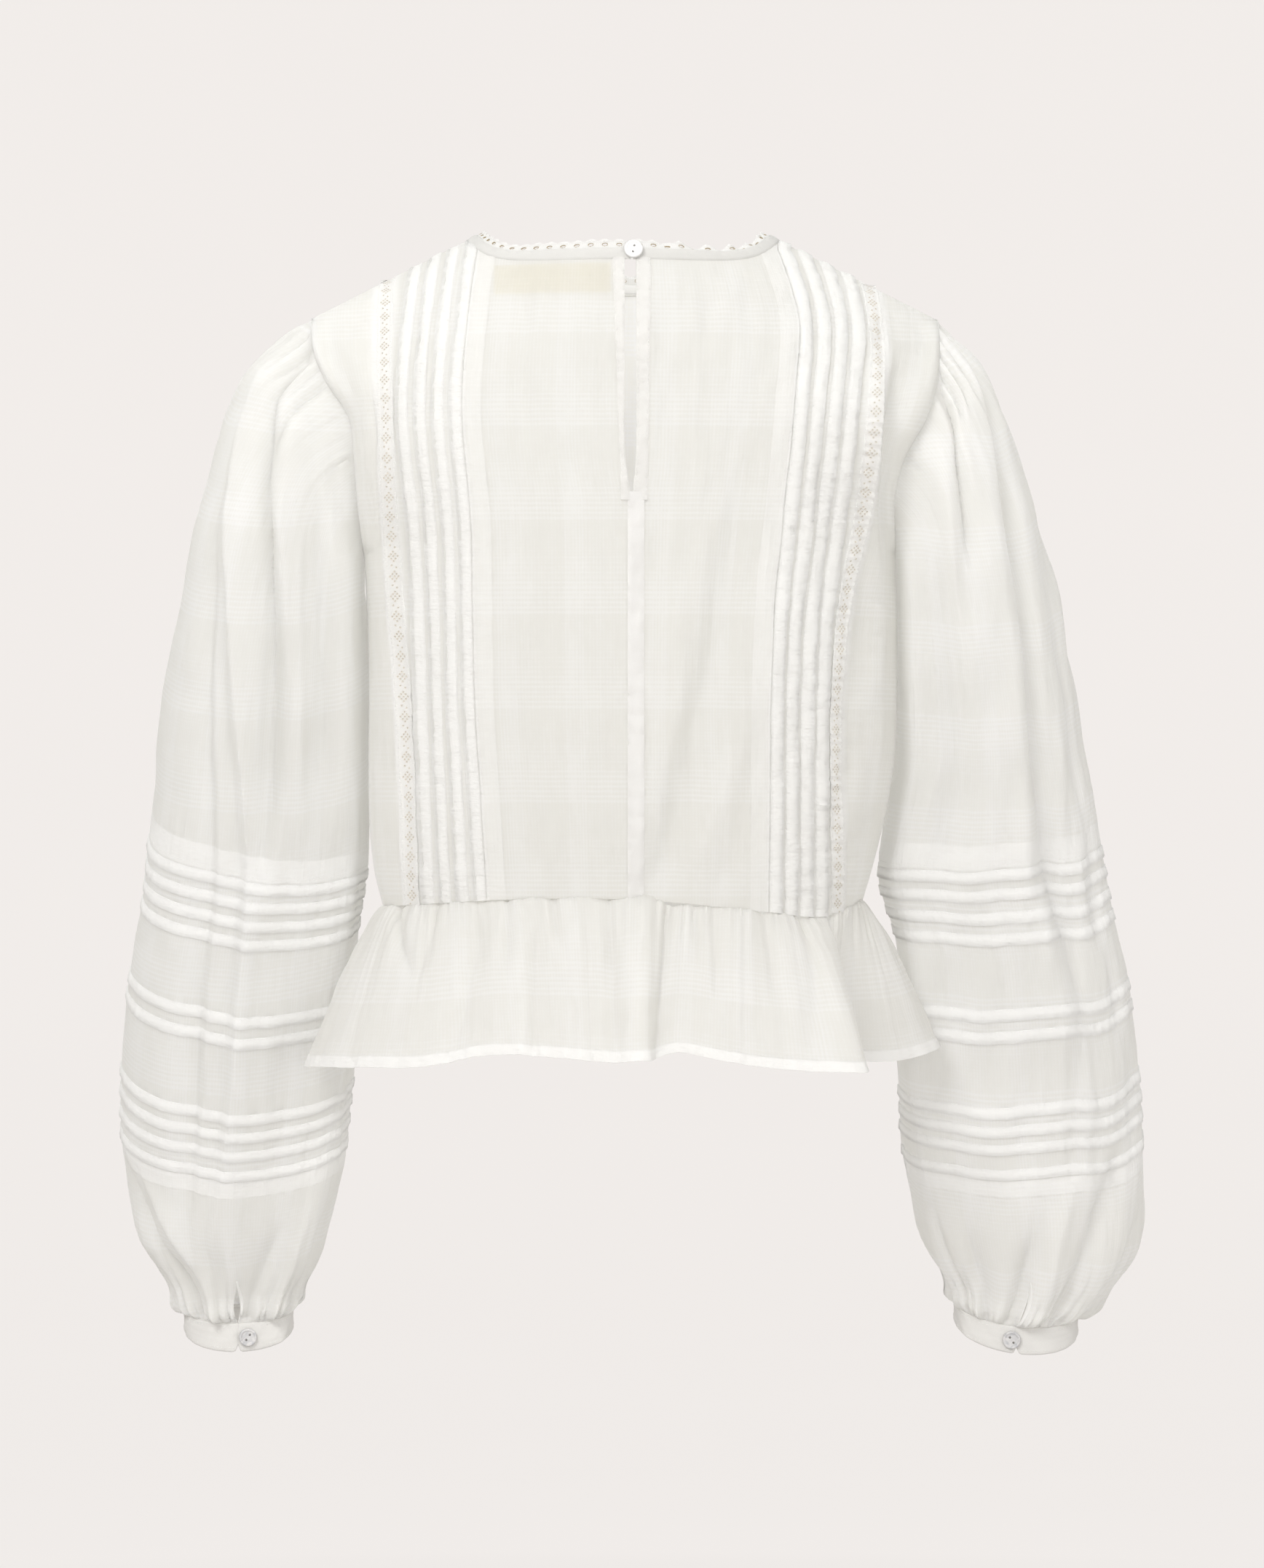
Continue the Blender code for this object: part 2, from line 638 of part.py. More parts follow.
def neck_frame(turn):
    """A point of the neckline and the way the neckband stands there, at degrees from the back's middle."""
    a = math.radians(turn)
    x = neck_x(turn)
    face = "back" if math.cos(a) >= 0 else "front"
    side_in, middle_in, middle_up, side_up = NECK_LEAN
    up = middle_up * math.cos(a) ** 2 + side_up * math.sin(a) ** 2
    rise = np.array((-side_in * math.sin(a), middle_in * math.cos(a), up))
    return body_point(face, x, neck_z(face, x)), rise / np.linalg.norm(rise)


def neck_ring(name, low, high, thick, proud):
    """A band round the neck between two heights above the neckline, open at the back's middle."""
    start = math.degrees(math.asin((NECK_HALF_GAP - SHOULDER_SHIFT) / SHOULDER_NECK_X))
    end = 360 + math.degrees(math.asin((-NECK_HALF_GAP - SHOULDER_SHIFT) / SHOULDER_NECK_X))
    half = [*NECK_TURNS["back"], *NECK_TURNS["front"][::-1]]
    turns = [start, *half, *(360 - turn for turn in half[-2::-1]), end]
    frames = [neck_frame(turn) for turn in turns]
    grid = np.array([[point + rise * reach for point, rise in frames] for reach in (low, high)])
    n = outward(grid, (SHOULDER_SHIFT, 0))
    wall(name, grid + n * proud, grid + n * (proud - thick))


def sleeve_width(side, turn, down):
    """How far the long folds move the cloth in or out at a place on the sleeve."""
    lift = 0.0
    for place, start, end, height, width in zip(*SLEEVE_FOLDS[side].values()):
        fade = min(max((down - start) / FOLD_FADE, 0), 1) * min(max((end - down) / FOLD_FADE, 0), 1)
        off = (turn - place + 180) % 360 - 180
        lift += height * fade * math.exp(-((off / width) ** 2))
    return lift


def sleeve_point(side, turn, down, out=0.0):
    """A point of the sleeve's surface; out moves it away from the section's middle."""
    point = section_point(side, turn, down, out + sleeve_width(side, turn, down))
    top = SLEEVE[side]["down"][0]
    share = min((down - top) / ARMHOLE_BLEND, 1.0)
    return point + (armhole_point(side, turn) - section_point(side, turn, top, 0.0)) * (1 - share) ** 2


def section_point(side, turn, down, out):
    """A point of one of the sleeve's sections: ellipses that lean, and hang lower at the rear."""
    row = {name: float(read(SLEEVE[side], name, down, "down")) for name in SLEEVE[side]}
    c, s = math.cos(math.radians(turn)), math.sin(math.radians(turn))
    x = (row["out"] + row["in"]) / 2 + ((row["out"] - row["in"]) / 2 + out) * c
    z = -(down + row["in_down"]) / 2 + (row["in_down"] - down) / 2 * c - row["dip"] * max(s, 0.0)
    return np.array((sign_of(side) * x, row["mid"] - (row["half"] + out) * s, z))


def armhole_point(side, turn):
    """A point of the sleeve's top edge, one seam outside the body's armhole."""
    z = armhole_z(turn)
    y = -(ARMHOLE_OPEN + SEAM / 2) * math.sin(math.radians(turn))
    return np.array((sign_of(side) * (edge_x(side, z) + ROUND_SEAM), y, z))


def sleeve_rows(side):
    """Heights of the sleeve's rings with each one's lift: its sections, and the tucks in their groups."""
    tucks = SLEEVE_TUCKS[side]
    rows = [(fold, TUCK_RISE) for fold in tucks] + [(fold + TUCK_UNDERCUT, 0.0) for fold in tucks]
    rows += [(tucks[sum(SLEEVE_TUCK_GROUPS[:k])] - SLEEVE_TUCK_WIDTH, 0.0) for k in range(3)]
    clear = SLEEVE_TUCK_WIDTH + 3 * TUCK_UNDERCUT
    for down in SLEEVE[side]["down"]:
        if all(not fold - clear < down < fold + clear for fold in tucks):
            rows.append((float(down), 0.0))
    return sorted(rows)


def slit_half_turn(side, down):
    """Half the slit's width in degrees; a hair's width above its top."""
    bottom = SLEEVE[side]["down"][-1]
    radius = float(SLEEVE[side]["out"][-1] - SLEEVE[side]["in"][-1]) / 2
    share = min(max((down - bottom + SLEEVE_SLIT) / SLEEVE_SLIT, 0.15), 1.0)
    return math.degrees(SLEEVE_SLIT_OPEN / 2 * share / radius)


def sleeve(side):
    """The whole sleeve, from the armhole to the cuff."""
    rows = sleeve_rows(side)
    slit = SLIT_TURN
    before = [t for t in SLEEVE_TURNS if t < slit]
    after = [t for t in SLEEVE_TURNS if t > slit]
    grid, raised = [], []
    for down, lift in rows:
        half = slit_half_turn(side, down)
        turns = before + [slit - half, slit + half] + after
        grid.append([sleeve_point(side, turn, down) for turn in turns])
        raised.append([sleeve_point(side, turn, down, lift) for turn in turns])
    grid, raised = np.array(grid), np.array(raised)
    n = outward_of_tube(grid)
    slit_top = rows[-1][0] - SLEEVE_SLIT - SEAM
    open_cells = {(i, len(before)) for i in range(len(rows) - 1) if rows[i][0] > slit_top}
    wall("sleeve_" + side, raised, grid - n * WALL, wrap=True, skip=open_cells)


def outward_of_tube(grid):
    """Normals of a closed tube of rings, pointing away from each ring's own middle."""
    n = normals(grid, wrap=True)
    away = grid - grid.mean(axis=1, keepdims=True)
    return n if np.sum(n * away) > 0 else -n


def cuff_point(side, turn, share, out=0.0):
    """A point of the cuff's outer surface, share 0 at its seam and 1 at its lower edge."""
    bottom = SLEEVE[side]["down"][-1]
    s = max(math.sin(math.radians(turn)), 0.0)
    height = CUFF_SIDE_HEIGHT + (CUFF_REAR_HEIGHT[side] - CUFF_SIDE_HEIGHT) * s
    return sleeve_point(side, turn, bottom, out) - np.array((0, 0, SEAM + share * height))


def cuff(side):
    """The cuff band, closed at its slit but for a narrow notch."""
    radius = float(SLEEVE[side]["out"][-1] - SLEEVE[side]["in"][-1]) / 2
    gap = math.degrees(CUFF_NOTCH / radius)
    slit = SLIT_TURN
    around = [t for t in SLEEVE_TURNS if t > slit] + [t + 360 for t in SLEEVE_TURNS if t < slit]
    turns = [slit + gap / 2, *around, slit + 360 - gap / 2]
    outer = np.array([[cuff_point(side, turn, share) for turn in turns] for share in (0, 1)])
    inner = np.array([[cuff_point(side, turn, share, -CUFF_WALL) for turn in turns] for share in (0, 1)])
    wall("cuff_" + side, outer, inner)


def placket(side):
    """The narrow binding beside the sleeve's slit, lying on the cloth."""
    bottom = SLEEVE[side]["down"][-1]
    sign = 1 if side == "left" else -1
    downs = np.linspace(bottom - SLEEVE_SLIT, bottom - 2 * SEAM, 5)
    radius = float(SLEEVE[side]["out"][-1] - SLEEVE[side]["in"][-1]) / 2
    width = math.degrees(PLACKET_WIDTH / radius)

    def line(down, share):
        return SLIT_TURN + sign * (slit_half_turn(side, down) + share * width)

    def face(out):
        return np.array([[sleeve_point(side, line(d, share), d, out) for share in (0, 1)] for d in downs])

    outer, inner = face(PLACKET_OUT + BAND_WALL), face(PLACKET_OUT)
    wall("placket_" + side, outer, inner)


def peplum_point(turn, share):
    """A point of the peplum, share 0 at the waist seam and 1 at the hem."""
    a = math.radians(turn)
    face = "back" if math.cos(a) >= 0 else "front"
    side = side_of(turn)
    waist_x = math.sin(a) * edge_x(side, WAIST["z"][0])
    top = body_point(face, waist_x, waist_z(face, waist_x)) - np.array((0, 0, ROUND_SEAM))
    radius, z = float(read(HEM, "radius", turn, "turn")), float(read(HEM, "z", turn, "turn"))
    hem = np.array((radius * math.sin(a), -radius * math.cos(a), z))
    point = top + (hem - top) * share**PEPLUM_FLARE
    point[2] = top[2] + (hem[2] - top[2]) * share
    return point


def peplum(name, start, end):
    """One of the peplum's two pieces, with its turned-up hem."""
    gap = math.degrees(ROUND_SEAM / HEM["radius"][0])
    count = round((end - start) / PEPLUM_STEP)
    turns = np.linspace(start + gap, end - gap, count + 1)
    turns = [start - PEPLUM_STEP, *turns, end + PEPLUM_STEP]
    hem_share = 1 - HEM_WIDTH / (WAIST["z"][0] - HEM["z"][0])
    shares = list(PEPLUM_ROWS) + [hem_share, 1.0]
    lifts = np.array([0.0] * len(PEPLUM_ROWS) + [HEM_RISE] * 2)
    grid = np.array([[peplum_point((turn + 180) % 360 - 180, share) for turn in turns] for share in shares])
    n = outward(grid, (0, 0))[:, 1:-1]
    grid = grid[:, 1:-1]
    wall(name, grid + n * lifts[:, None, None], grid - n * WALL)


def button(name, centre, facing_way, tilt):
    """A round two-hole button with a raised rim, its back at centre."""
    rim = BUTTON_RADIUS - BUTTON_RIM
    profile = (
        (0, 0),
        (BUTTON_RADIUS - BUTTON_DISH, 0),
        (BUTTON_RADIUS, BUTTON_DISH),
        (BUTTON_RADIUS, BUTTON_THICK - BUTTON_DISH),
        (BUTTON_RADIUS - BUTTON_DISH, BUTTON_THICK),
        (rim, BUTTON_THICK),
        (rim - BUTTON_DISH, BUTTON_THICK - BUTTON_DISH),
        (0, BUTTON_THICK - BUTTON_DISH),
    )
    shape = bmesh.new()
    points = [shape.verts.new((r, 0, h)) for r, h in profile]
    edges = [shape.edges.new(pair) for pair in zip(points, points[1:])]
    turn = {"cent": (0, 0, 0), "axis": (0, 0, 1), "angle": 2 * math.pi, "steps": BUTTON_SIDES}
    bmesh.ops.spin(shape, geom=points + edges, use_duplicate=False, **turn)
    bmesh.ops.remove_doubles(shape, verts=shape.verts[:], dist=1e-6)
    bmesh.ops.dissolve_degenerate(shape, edges=shape.edges[:], dist=1e-6)
    bmesh.ops.recalc_face_normals(shape, faces=shape.faces[:])
    mesh = bpy.data.meshes.new(name)
    shape.to_mesh(mesh)
    shape.free()
    mesh.shade_smooth()
    mesh.set_sharp_from_angle(angle=math.radians(30))
    piece = new_object(name, mesh)
    piece.location = centre
    piece.rotation_mode = "QUATERNION"
    piece.rotation_quaternion = turned(facing_way, tilt)
    for index in (-1, 1):
        cutter = hole_cutter(f"{name}_hole_{index + 1}", index * BUTTON_HOLE_STEP / 2)
        cutter.parent = piece
        cut = piece.modifiers.new("hole", "BOOLEAN")
        cut.operation = "DIFFERENCE"
        cut.solver = "EXACT"
        cut.object = cutter


def turned(facing_way, tilt):
    """The rotation that points +Z along facing_way, with a tilt about it."""
    way = Vector(facing_way).normalized()
    up = Vector((0, 0, 1)) - way * way.z
    across = up.cross(way)
    base = Matrix((across.normalized(), up.normalized(), way)).transposed().to_quaternion()
    return base @ Quaternion((0, 0, 1), math.radians(tilt))


def hole_cutter(name, offset):
    """A guide that cuts one of a button's holes."""
    shape = bmesh.new()
    size = {"radius1": BUTTON_HOLE_RADIUS, "radius2": BUTTON_HOLE_RADIUS, "depth": 4 * BUTTON_THICK}
    bmesh.ops.create_cone(shape, cap_ends=True, segments=HOLE_SIDES, **size)
    mesh = bpy.data.meshes.new(name)
    shape.to_mesh(mesh)
    shape.free()
    cutter = bpy.data.objects.new(name, mesh)
    bpy.context.scene.collection.objects.link(cutter)
    cutter.location = (0, offset, 0)
    cutter.hide_render = True
    cutter.display_type = "WIRE"
    return cutter


def neck_button():
    """On the neckband, over its opening."""
    point, rise = neck_frame(4.0)
    way = np.cross(np.array((1.0, 0, 0)), rise)
    way /= np.linalg.norm(way)
    centre = point + rise * BUTTON_RISE + way * (NECKBAND_PROUD + BUTTON_SEAT)
    button("neck_button", tuple(centre), tuple(way), NECK_BUTTON_TILT)


def cuff_button(side):
    turn = BUTTON_TURN[side]
    point = cuff_point(side, turn, 0.5)
    across = cuff_point(side, turn + 5, 0.5) - cuff_point(side, turn - 5, 0.5)
    down = cuff_point(side, turn, 1.0) - cuff_point(side, turn, 0.0)
    way = np.cross(across, down)
    way /= np.linalg.norm(way)
    way = way if way[1] < 0 else -way
    tilt = CUFF_BUTTON_TILT * sign_of(side)
    button("cuff_button_" + side, tuple(point + way * BUTTON_SEAT), tuple(way), tilt)


def build():
    for piece in list(bpy.data.objects):
        bpy.data.objects.remove(piece)
    for side in ("left", "right"):
        back_panel(side)
        lace_strip(side)
        side_panel(side)
        facing(side)
        sleeve(side)
        placket(side)
        cuff(side)
        cuff_button(side)
    front_panel()
    centre_back_band()
    neck_label()
    top = BINDING_HEIGHT
    neck_ring("neck_binding", ROUND_SEAM, top, NECKBAND_WALL, NECKBAND_PROUD)
    neck_ring("neck_lace_edging", top + ROUND_SEAM, top + EDGING_HEIGHT, LACE_WALL, NECKBAND_PROUD / 2)
    neck_button()
    peplum("peplum_back", *PEPLUM_SEAM_TURNS)
    peplum("peplum_front", PEPLUM_SEAM_TURNS[1], PEPLUM_SEAM_TURNS[0] + 360)


build()
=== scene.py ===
"""Looks of a Victorian-style blouse of fine checked cotton voile, filled out as if worn.

Every cloth piece is a thin shell on the form of its CAD solid, with its tucks folded over, its seams turned
in, and its creases laid on in short tables. Metres, +Z up. The wearer faces +Y, so the back of the
blouse faces -Y, and +X is the wearer's right.
"""

import math

import bpy
import numpy as np
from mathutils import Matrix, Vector


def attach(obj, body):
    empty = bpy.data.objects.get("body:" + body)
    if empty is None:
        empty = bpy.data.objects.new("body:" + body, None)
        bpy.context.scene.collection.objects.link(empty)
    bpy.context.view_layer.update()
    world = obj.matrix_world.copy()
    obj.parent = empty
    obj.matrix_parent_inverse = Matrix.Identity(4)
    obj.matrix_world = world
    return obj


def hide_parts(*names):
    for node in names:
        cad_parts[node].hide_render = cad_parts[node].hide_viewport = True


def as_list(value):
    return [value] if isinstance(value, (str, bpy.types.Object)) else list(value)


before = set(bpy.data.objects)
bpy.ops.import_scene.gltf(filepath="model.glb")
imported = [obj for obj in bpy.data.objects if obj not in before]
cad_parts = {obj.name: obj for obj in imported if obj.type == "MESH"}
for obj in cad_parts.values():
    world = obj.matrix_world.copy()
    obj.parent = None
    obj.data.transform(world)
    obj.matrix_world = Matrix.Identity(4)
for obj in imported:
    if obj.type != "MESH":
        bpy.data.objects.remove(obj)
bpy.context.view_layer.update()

SIDES = ("left", "right")
CLOTH = 0.0004  # thickness of the cloth shells
TURN_IN = 0.0016  # how far a seam's edge is turned in


def table(columns, *rows):
    """A table with named columns, each an array down the rows."""
    return dict(zip(columns.split(), np.array(rows, float).T))


# ---- The CAD model's form, repeated -------------------------------------------------------------------

# The body's outline, bottom to top: how far its edges stand from the centre line, and how far it swells
BODY = table(
    "z left right back front",
    (-0.405, 0.1545, 0.1420, 0.086, 0.090),
    (-0.385, 0.1595, 0.1480, 0.090, 0.096),
    (-0.360, 0.1625, 0.1545, 0.095, 0.104),
    (-0.320, 0.1635, 0.1620, 0.101, 0.116),
    (-0.260, 0.1635, 0.1645, 0.107, 0.126),
    (-0.186, 0.1665, 0.1635, 0.109, 0.124),
    (-0.150, 0.1695, 0.1620, 0.108, 0.116),
    (-0.128, 0.1710, 0.1680, 0.106, 0.111),
    (-0.104, 0.1740, 0.1810, 0.103, 0.106),
    (-0.080, 0.1890, 0.1880, 0.100, 0.102),
    (-0.062, 0.1965, 0.1895, 0.098, 0.099),
    (-0.041, 0.1990, 0.1900, 0.096, 0.096),
)
SECTION_POWER = {"left": 2.9, "right": 2.4}  # fuller on the left than the CAD model
SHOULDER_Z = 0.0085
SHOULDER_SHIFT = -0.0055
SHOULDER_NECK_X = 0.0965
SHOULDER_SLOPE = 0.505
SHOULDER_CREST = 0.025
SHOULDER_ROUND = {"back": 0.120, "front": 0.110}
TIP_Z = -0.041
UNDERARM_Z = -0.186
ARMHOLE_OPEN = 0.040  # half the armhole's depth, from front to back
ARMHOLE_NEAR = 0.93  # share of the width where the side starts to curve in to the armhole
BODY_MIDDLE = (0, 0, -0.25)
NECK_MIDDLE = {"back": -0.0092, "front": -0.0170}
NECK_RISE_POWER = {"back": 8, "front": 3}
WAIST = table(
    "x z",
    (-0.155, -0.4050),
    (-0.080, -0.3997),
    (0.000, -0.3995),
    (0.040, -0.4025),
    (0.080, -0.4070),
    (0.125, -0.4090),
    (0.142, -0.4020),
)
WAIST_Z = WAIST["z"][0]

# The back's tucks: where the innermost fold stands, and the step to the next one outwards
TUCKS = table(
    "z left left_step right right_step",
    (-0.410, 0.0955, 0.0107, 0.0914, 0.0095),
    (-0.335, 0.1000, 0.0103, 0.0920, 0.0092),
    (-0.280, 0.1035, 0.0099, 0.0915, 0.0095),
    (-0.239, 0.1042, 0.0100, 0.0927, 0.0096),
    (-0.174, 0.1050, 0.0106, 0.0990, 0.0100),
    (-0.098, 0.1110, 0.0109, 0.1065, 0.0104),
    (-0.041, 0.1075, 0.0111, 0.1091, 0.0110),
    (0.000, 0.1030, 0.0112, 0.0980, 0.0120),
)
TUCK_COUNT = 4
LACE = table(
    "z left right right_width",
    (-0.410, 0.1345, 0.1265, 0.0072),
    (-0.335, 0.1365, 0.1250, 0.0074),
    (-0.270, 0.1400, 0.1255, 0.0078),
    (-0.218, 0.1440, 0.1300, 0.0082),
    (-0.160, 0.1480, 0.1400, 0.0092),
    (-0.098, 0.1508, 0.1475, 0.0096),
    (-0.060, 0.1520, 0.1505, 0.0096),
    (-0.025, 0.1520, 0.1475, 0.0096),
    (0.000, 0.1500, 0.1440, 0.0096),
)
LACE_WIDTH = 0.0096
SLIT_TIP_Z = -0.157
SLIT_REACH = {"left": 0.0044, "right": 0.0026}
SLIT_TAPER = 0.034
FACING_OUTER = {"left": (0.0066, 0.0123), "right": (0.0094, 0.0119)}
CENTRE_BAND_OUTER = {"left": 0.0026, "right": 0.0075}
LABEL_X = (-0.0841, -0.0130)
LABEL_Z = (-0.0310, -0.0125)
LABEL_SHOWS = 0.27  # how strongly it shows through the cloth
NECK_HALF_GAP = 0.0006
NECK_LEAN = (0.89, 0.30, 0.95, 0.45)
BINDING_HEIGHT = 0.0066
EDGING_HEIGHT = 0.0060
BUTTON_RISE = 0.0045
NECKBAND_PROUD = 0.0013

# Sleeves, top to bottom, as in the CAD model
SLEEVE = {
    "left": table(
        "down out in in_down mid half dip",
        (0.041, 0.1993, 0.1671, 0.1865, 0.000, 0.041, 0.000),
        (0.059, 0.2270, 0.1680, 0.1935, 0.002, 0.049, 0.000),
        (0.095, 0.2510, 0.1682, 0.2060, 0.006, 0.055, 0.001),
        (0.149, 0.2680, 0.1676, 0.2300, 0.011, 0.057, 0.003),
        (0.203, 0.2800, 0.1670, 0.2600, 0.017, 0.057, 0.005),
        (0.250, 0.2895, 0.1664, 0.2900, 0.023, 0.056, 0.006),
        (0.294, 0.2965, 0.1660, 0.3210, 0.030, 0.055, 0.007),
        (0.334, 0.3010, 0.1658, 0.3550, 0.038, 0.054, 0.008),
        (0.380, 0.3060, 0.1690, 0.3960, 0.049, 0.053, 0.009),
        (0.425, 0.3140, 0.1740, 0.4370, 0.060, 0.053, 0.010),
        (0.463, 0.3205, 0.1758, 0.4730, 0.070, 0.053, 0.012),
        (0.500, 0.3235, 0.1765, 0.5080, 0.080, 0.053, 0.013),
        (0.525, 0.3245, 0.1790, 0.5310, 0.086, 0.053, 0.014),
        (0.554, 0.3242, 0.1823, 0.5580, 0.092, 0.052, 0.013),
        (0.592, 0.3207, 0.1892, 0.5940, 0.098, 0.049, 0.011),
        (0.611, 0.3160, 0.1937, 0.6120, 0.100, 0.046, 0.010),
        (0.630, 0.3073, 0.1990, 0.6300, 0.102, 0.041, 0.009),
        (0.649, 0.2968, 0.2089, 0.6480, 0.104, 0.035, 0.008),
        (0.666, 0.2860, 0.2180, 0.6655, 0.105, 0.031, 0.006),
    ),
    "right": table(
        "down out in in_down mid half dip",
        (0.041, 0.1903, 0.1641, 0.1865, 0.000, 0.041, 0.000),
        (0.059, 0.2097, 0.1655, 0.1935, 0.002, 0.048, 0.000),
        (0.095, 0.2300, 0.1662, 0.2060, 0.006, 0.054, 0.000),
        (0.149, 0.2486, 0.1665, 0.2300, 0.011, 0.056, 0.001),
        (0.203, 0.2645, 0.1668, 0.2600, 0.017, 0.056, 0.002),
        (0.250, 0.2740, 0.1672, 0.2900, 0.023, 0.055, 0.002),
        (0.294, 0.2819, 0.1668, 0.3180, 0.030, 0.054, 0.002),
        (0.344, 0.2915, 0.1605, 0.3500, 0.040, 0.053, 0.002),
        (0.385, 0.2985, 0.1560, 0.3900, 0.050, 0.053, 0.002),
        (0.425, 0.3075, 0.1665, 0.4280, 0.060, 0.053, 0.004),
        (0.469, 0.3165, 0.1685, 0.4730, 0.071, 0.053, 0.006),
        (0.500, 0.3215, 0.1690, 0.5050, 0.080, 0.053, 0.008),
        (0.526, 0.3238, 0.1700, 0.5300, 0.086, 0.053, 0.011),
        (0.554, 0.3256, 0.1730, 0.5560, 0.092, 0.052, 0.011),
        (0.592, 0.3281, 0.1795, 0.5920, 0.098, 0.050, 0.010),
        (0.611, 0.3270, 0.1834, 0.6100, 0.100, 0.048, 0.010),
        (0.630, 0.3215, 0.1901, 0.6270, 0.102, 0.044, 0.010),
        (0.649, 0.3080, 0.1996, 0.6450, 0.104, 0.038, 0.010),
        (0.668, 0.2848, 0.2072, 0.6600, 0.105, 0.033, 0.010),
    ),
}
ARMHOLE_BLEND = 0.060
SLEEVE_TUCKS = {
    "left": (0.380, 0.392, 0.404, 0.416, 0.463, 0.476, 0.525, 0.537, 0.550, 0.564),
    "right": (0.385, 0.397, 0.411, 0.424, 0.469, 0.482, 0.526, 0.538, 0.550, 0.567),
}
SLIT_TURN = 93.0
SLEEVE_SLIT = 0.030
CUFF_SIDE_HEIGHT = 0.0125
CUFF_REAR_HEIGHT = {"left": 0.0185, "right": 0.0175}
CUFF_NOTCH = 0.0008
CUFF_STITCH_SHARES = (0.14, 0.86)  # where its two rows of stitches run
PLACKET_WIDTH = 0.0030
BUTTON_TURN = {"left": 103.0, "right": 97.0}

HEM = table(
    "turn radius z",
    (-180, 0.122, -0.4970),
    (-160, 0.125, -0.4980),
    (-140, 0.133, -0.4960),
    (-120, 0.156, -0.4990),
    (-106, 0.184, -0.5020),
    (-90, 0.203, -0.5045),
    (-76, 0.194, -0.5030),
    (-65, 0.181, -0.5018),
    (-51, 0.163, -0.5000),
    (-40, 0.148, -0.4935),
    (-28, 0.137, -0.4918),
    (-18, 0.131, -0.4940),
    (-6, 0.130, -0.4960),
    (4, 0.134, -0.4955),
    (13, 0.121, -0.4905),
    (22, 0.134, -0.4948),
    (34, 0.148, -0.5000),
    (43, 0.168, -0.5020),
    (49, 0.184, -0.5027),
    (56, 0.170, -0.5020),
    (64, 0.138, -0.5000),
    (72, 0.140, -0.5000),
    (82, 0.168, -0.5000),
    (93, 0.192, -0.4940),
    (106, 0.182, -0.4960),
    (120, 0.156, -0.4990),
    (140, 0.133, -0.4960),
    (160, 0.125, -0.4980),
    (180, 0.122, -0.4970),
)
PEPLUM_FLARE = 0.75
PEPLUM_SEAM_TURNS = (-88.0, 92.0)
PEPLUM_LONG = 0.092  # from the waist to the hem
PEPLUM_ROUND = 1.05  # the cloth's width once round

# ---- What the shells add: folds, layers and creases -----------------------------------------------------

# A tuck in section: distance outwards from its folded edge, height off the cloth, and how doubled it is
TUCK_SECTION = table(
    "offset lift layer",
    (-0.0078, 0.0000, 0.10),
    (-0.0073, -0.0001, 0.75),
    (-0.0066, 0.0006, 1.00),
    (-0.0050, 0.0011, 1.00),
    (-0.0030, 0.0013, 1.00),
    (-0.0012, 0.0014, 1.00),
    (-0.0002, 0.00135, 1.00),
    (0.0002, 0.0011, 1.00),
    (0.0001, 0.0008, 0.90),
    (-0.0006, 0.0006, 0.30),
    (-0.0018, 0.0005, 0.00),
    (-0.0021, 0.0002, 0.00),
    (-0.0010, 0.0000, 0.00),
    (0.0006, 0.0000, 0.00),
)
# The first tuck's underlay shows through the plain cloth beside it
UNDERLAY = table(
    "offset lift layer",
    (-0.0200, 0.0000, 0.00),
    (-0.0194, 0.0001, 0.45),
    (-0.0150, 0.0001, 0.45),
    (-0.0110, 0.0001, 0.45),
    (-0.0097, 0.0001, 0.45),
    (-0.0092, 0.0001, 0.90),
    (-0.0084, 0.0001, 0.90),
)
PUCKER = 0.00040  # height of the small puckers along the sewn bands
TUCK_PRESS = {"left": 0.42, "right": 0.95}  # how high the folds stand
CHECK_SHIFT = {"left": 0.0050, "right": -0.0185}  # where the back's check starts, from the centre
FACING_RISE = 0.0008
BAND_RISE = 0.0009
LABEL_DEPTH = 0.0011
LACE_CELL = 0.00043
SLEEVE_ROUND = 0.50  # the cloth's width once round the sleeve
SLEEVE_INNER_FULLNESS = 0.9  # how much fuller than an ellipse the sleeve hangs beside the body, at its rear


def read(source, column, at, key="z"):
    """A soft curve through one column of a table, read at one or more places."""
    keys, values = source[key], source[column]
    slopes = np.gradient(values, keys)
    at = np.clip(at, keys[0], keys[-1])
    i = np.clip(np.searchsorted(keys, at, side="right") - 1, 0, len(keys) - 2)
    span = keys[i + 1] - keys[i]
    t = (at - keys[i]) / span
    rise = values[i + 1] - values[i]
    start, end = slopes[i] * span, slopes[i + 1] * span
    return values[i] + t * (start + t * (3 * rise - 2 * start - end + t * (start + end - 2 * rise)))


def sign_of(side):
    """The side's direction along X."""
    return -1 if side == "left" else 1


def smooth(t):
    """0 to 1 as t goes from 0 to 1, level at both ends."""
    t = np.clip(t, 0, 1)
    return t * t * (3 - 2 * t)


def unit(v):
    """Directions of unit length."""
    return v / np.maximum(np.linalg.norm(v, axis=-1, keepdims=True), 1e-12)


def outward(n, away):
    """Normals turned to the side that away points to."""
    return np.where(np.sum(n * away, -1, keepdims=True) < 0, -n, n)


def run_of(points):
    """How far along a route each of its points lies."""
    return np.concatenate([[0], np.cumsum(np.linalg.norm(np.diff(points, axis=0), axis=1))])


def along_route(at, run, points):
    """Points of a route, or its directions, at distances along it."""
    return np.stack([np.interp(at, run, points[:, k]) for k in range(3)], -1)


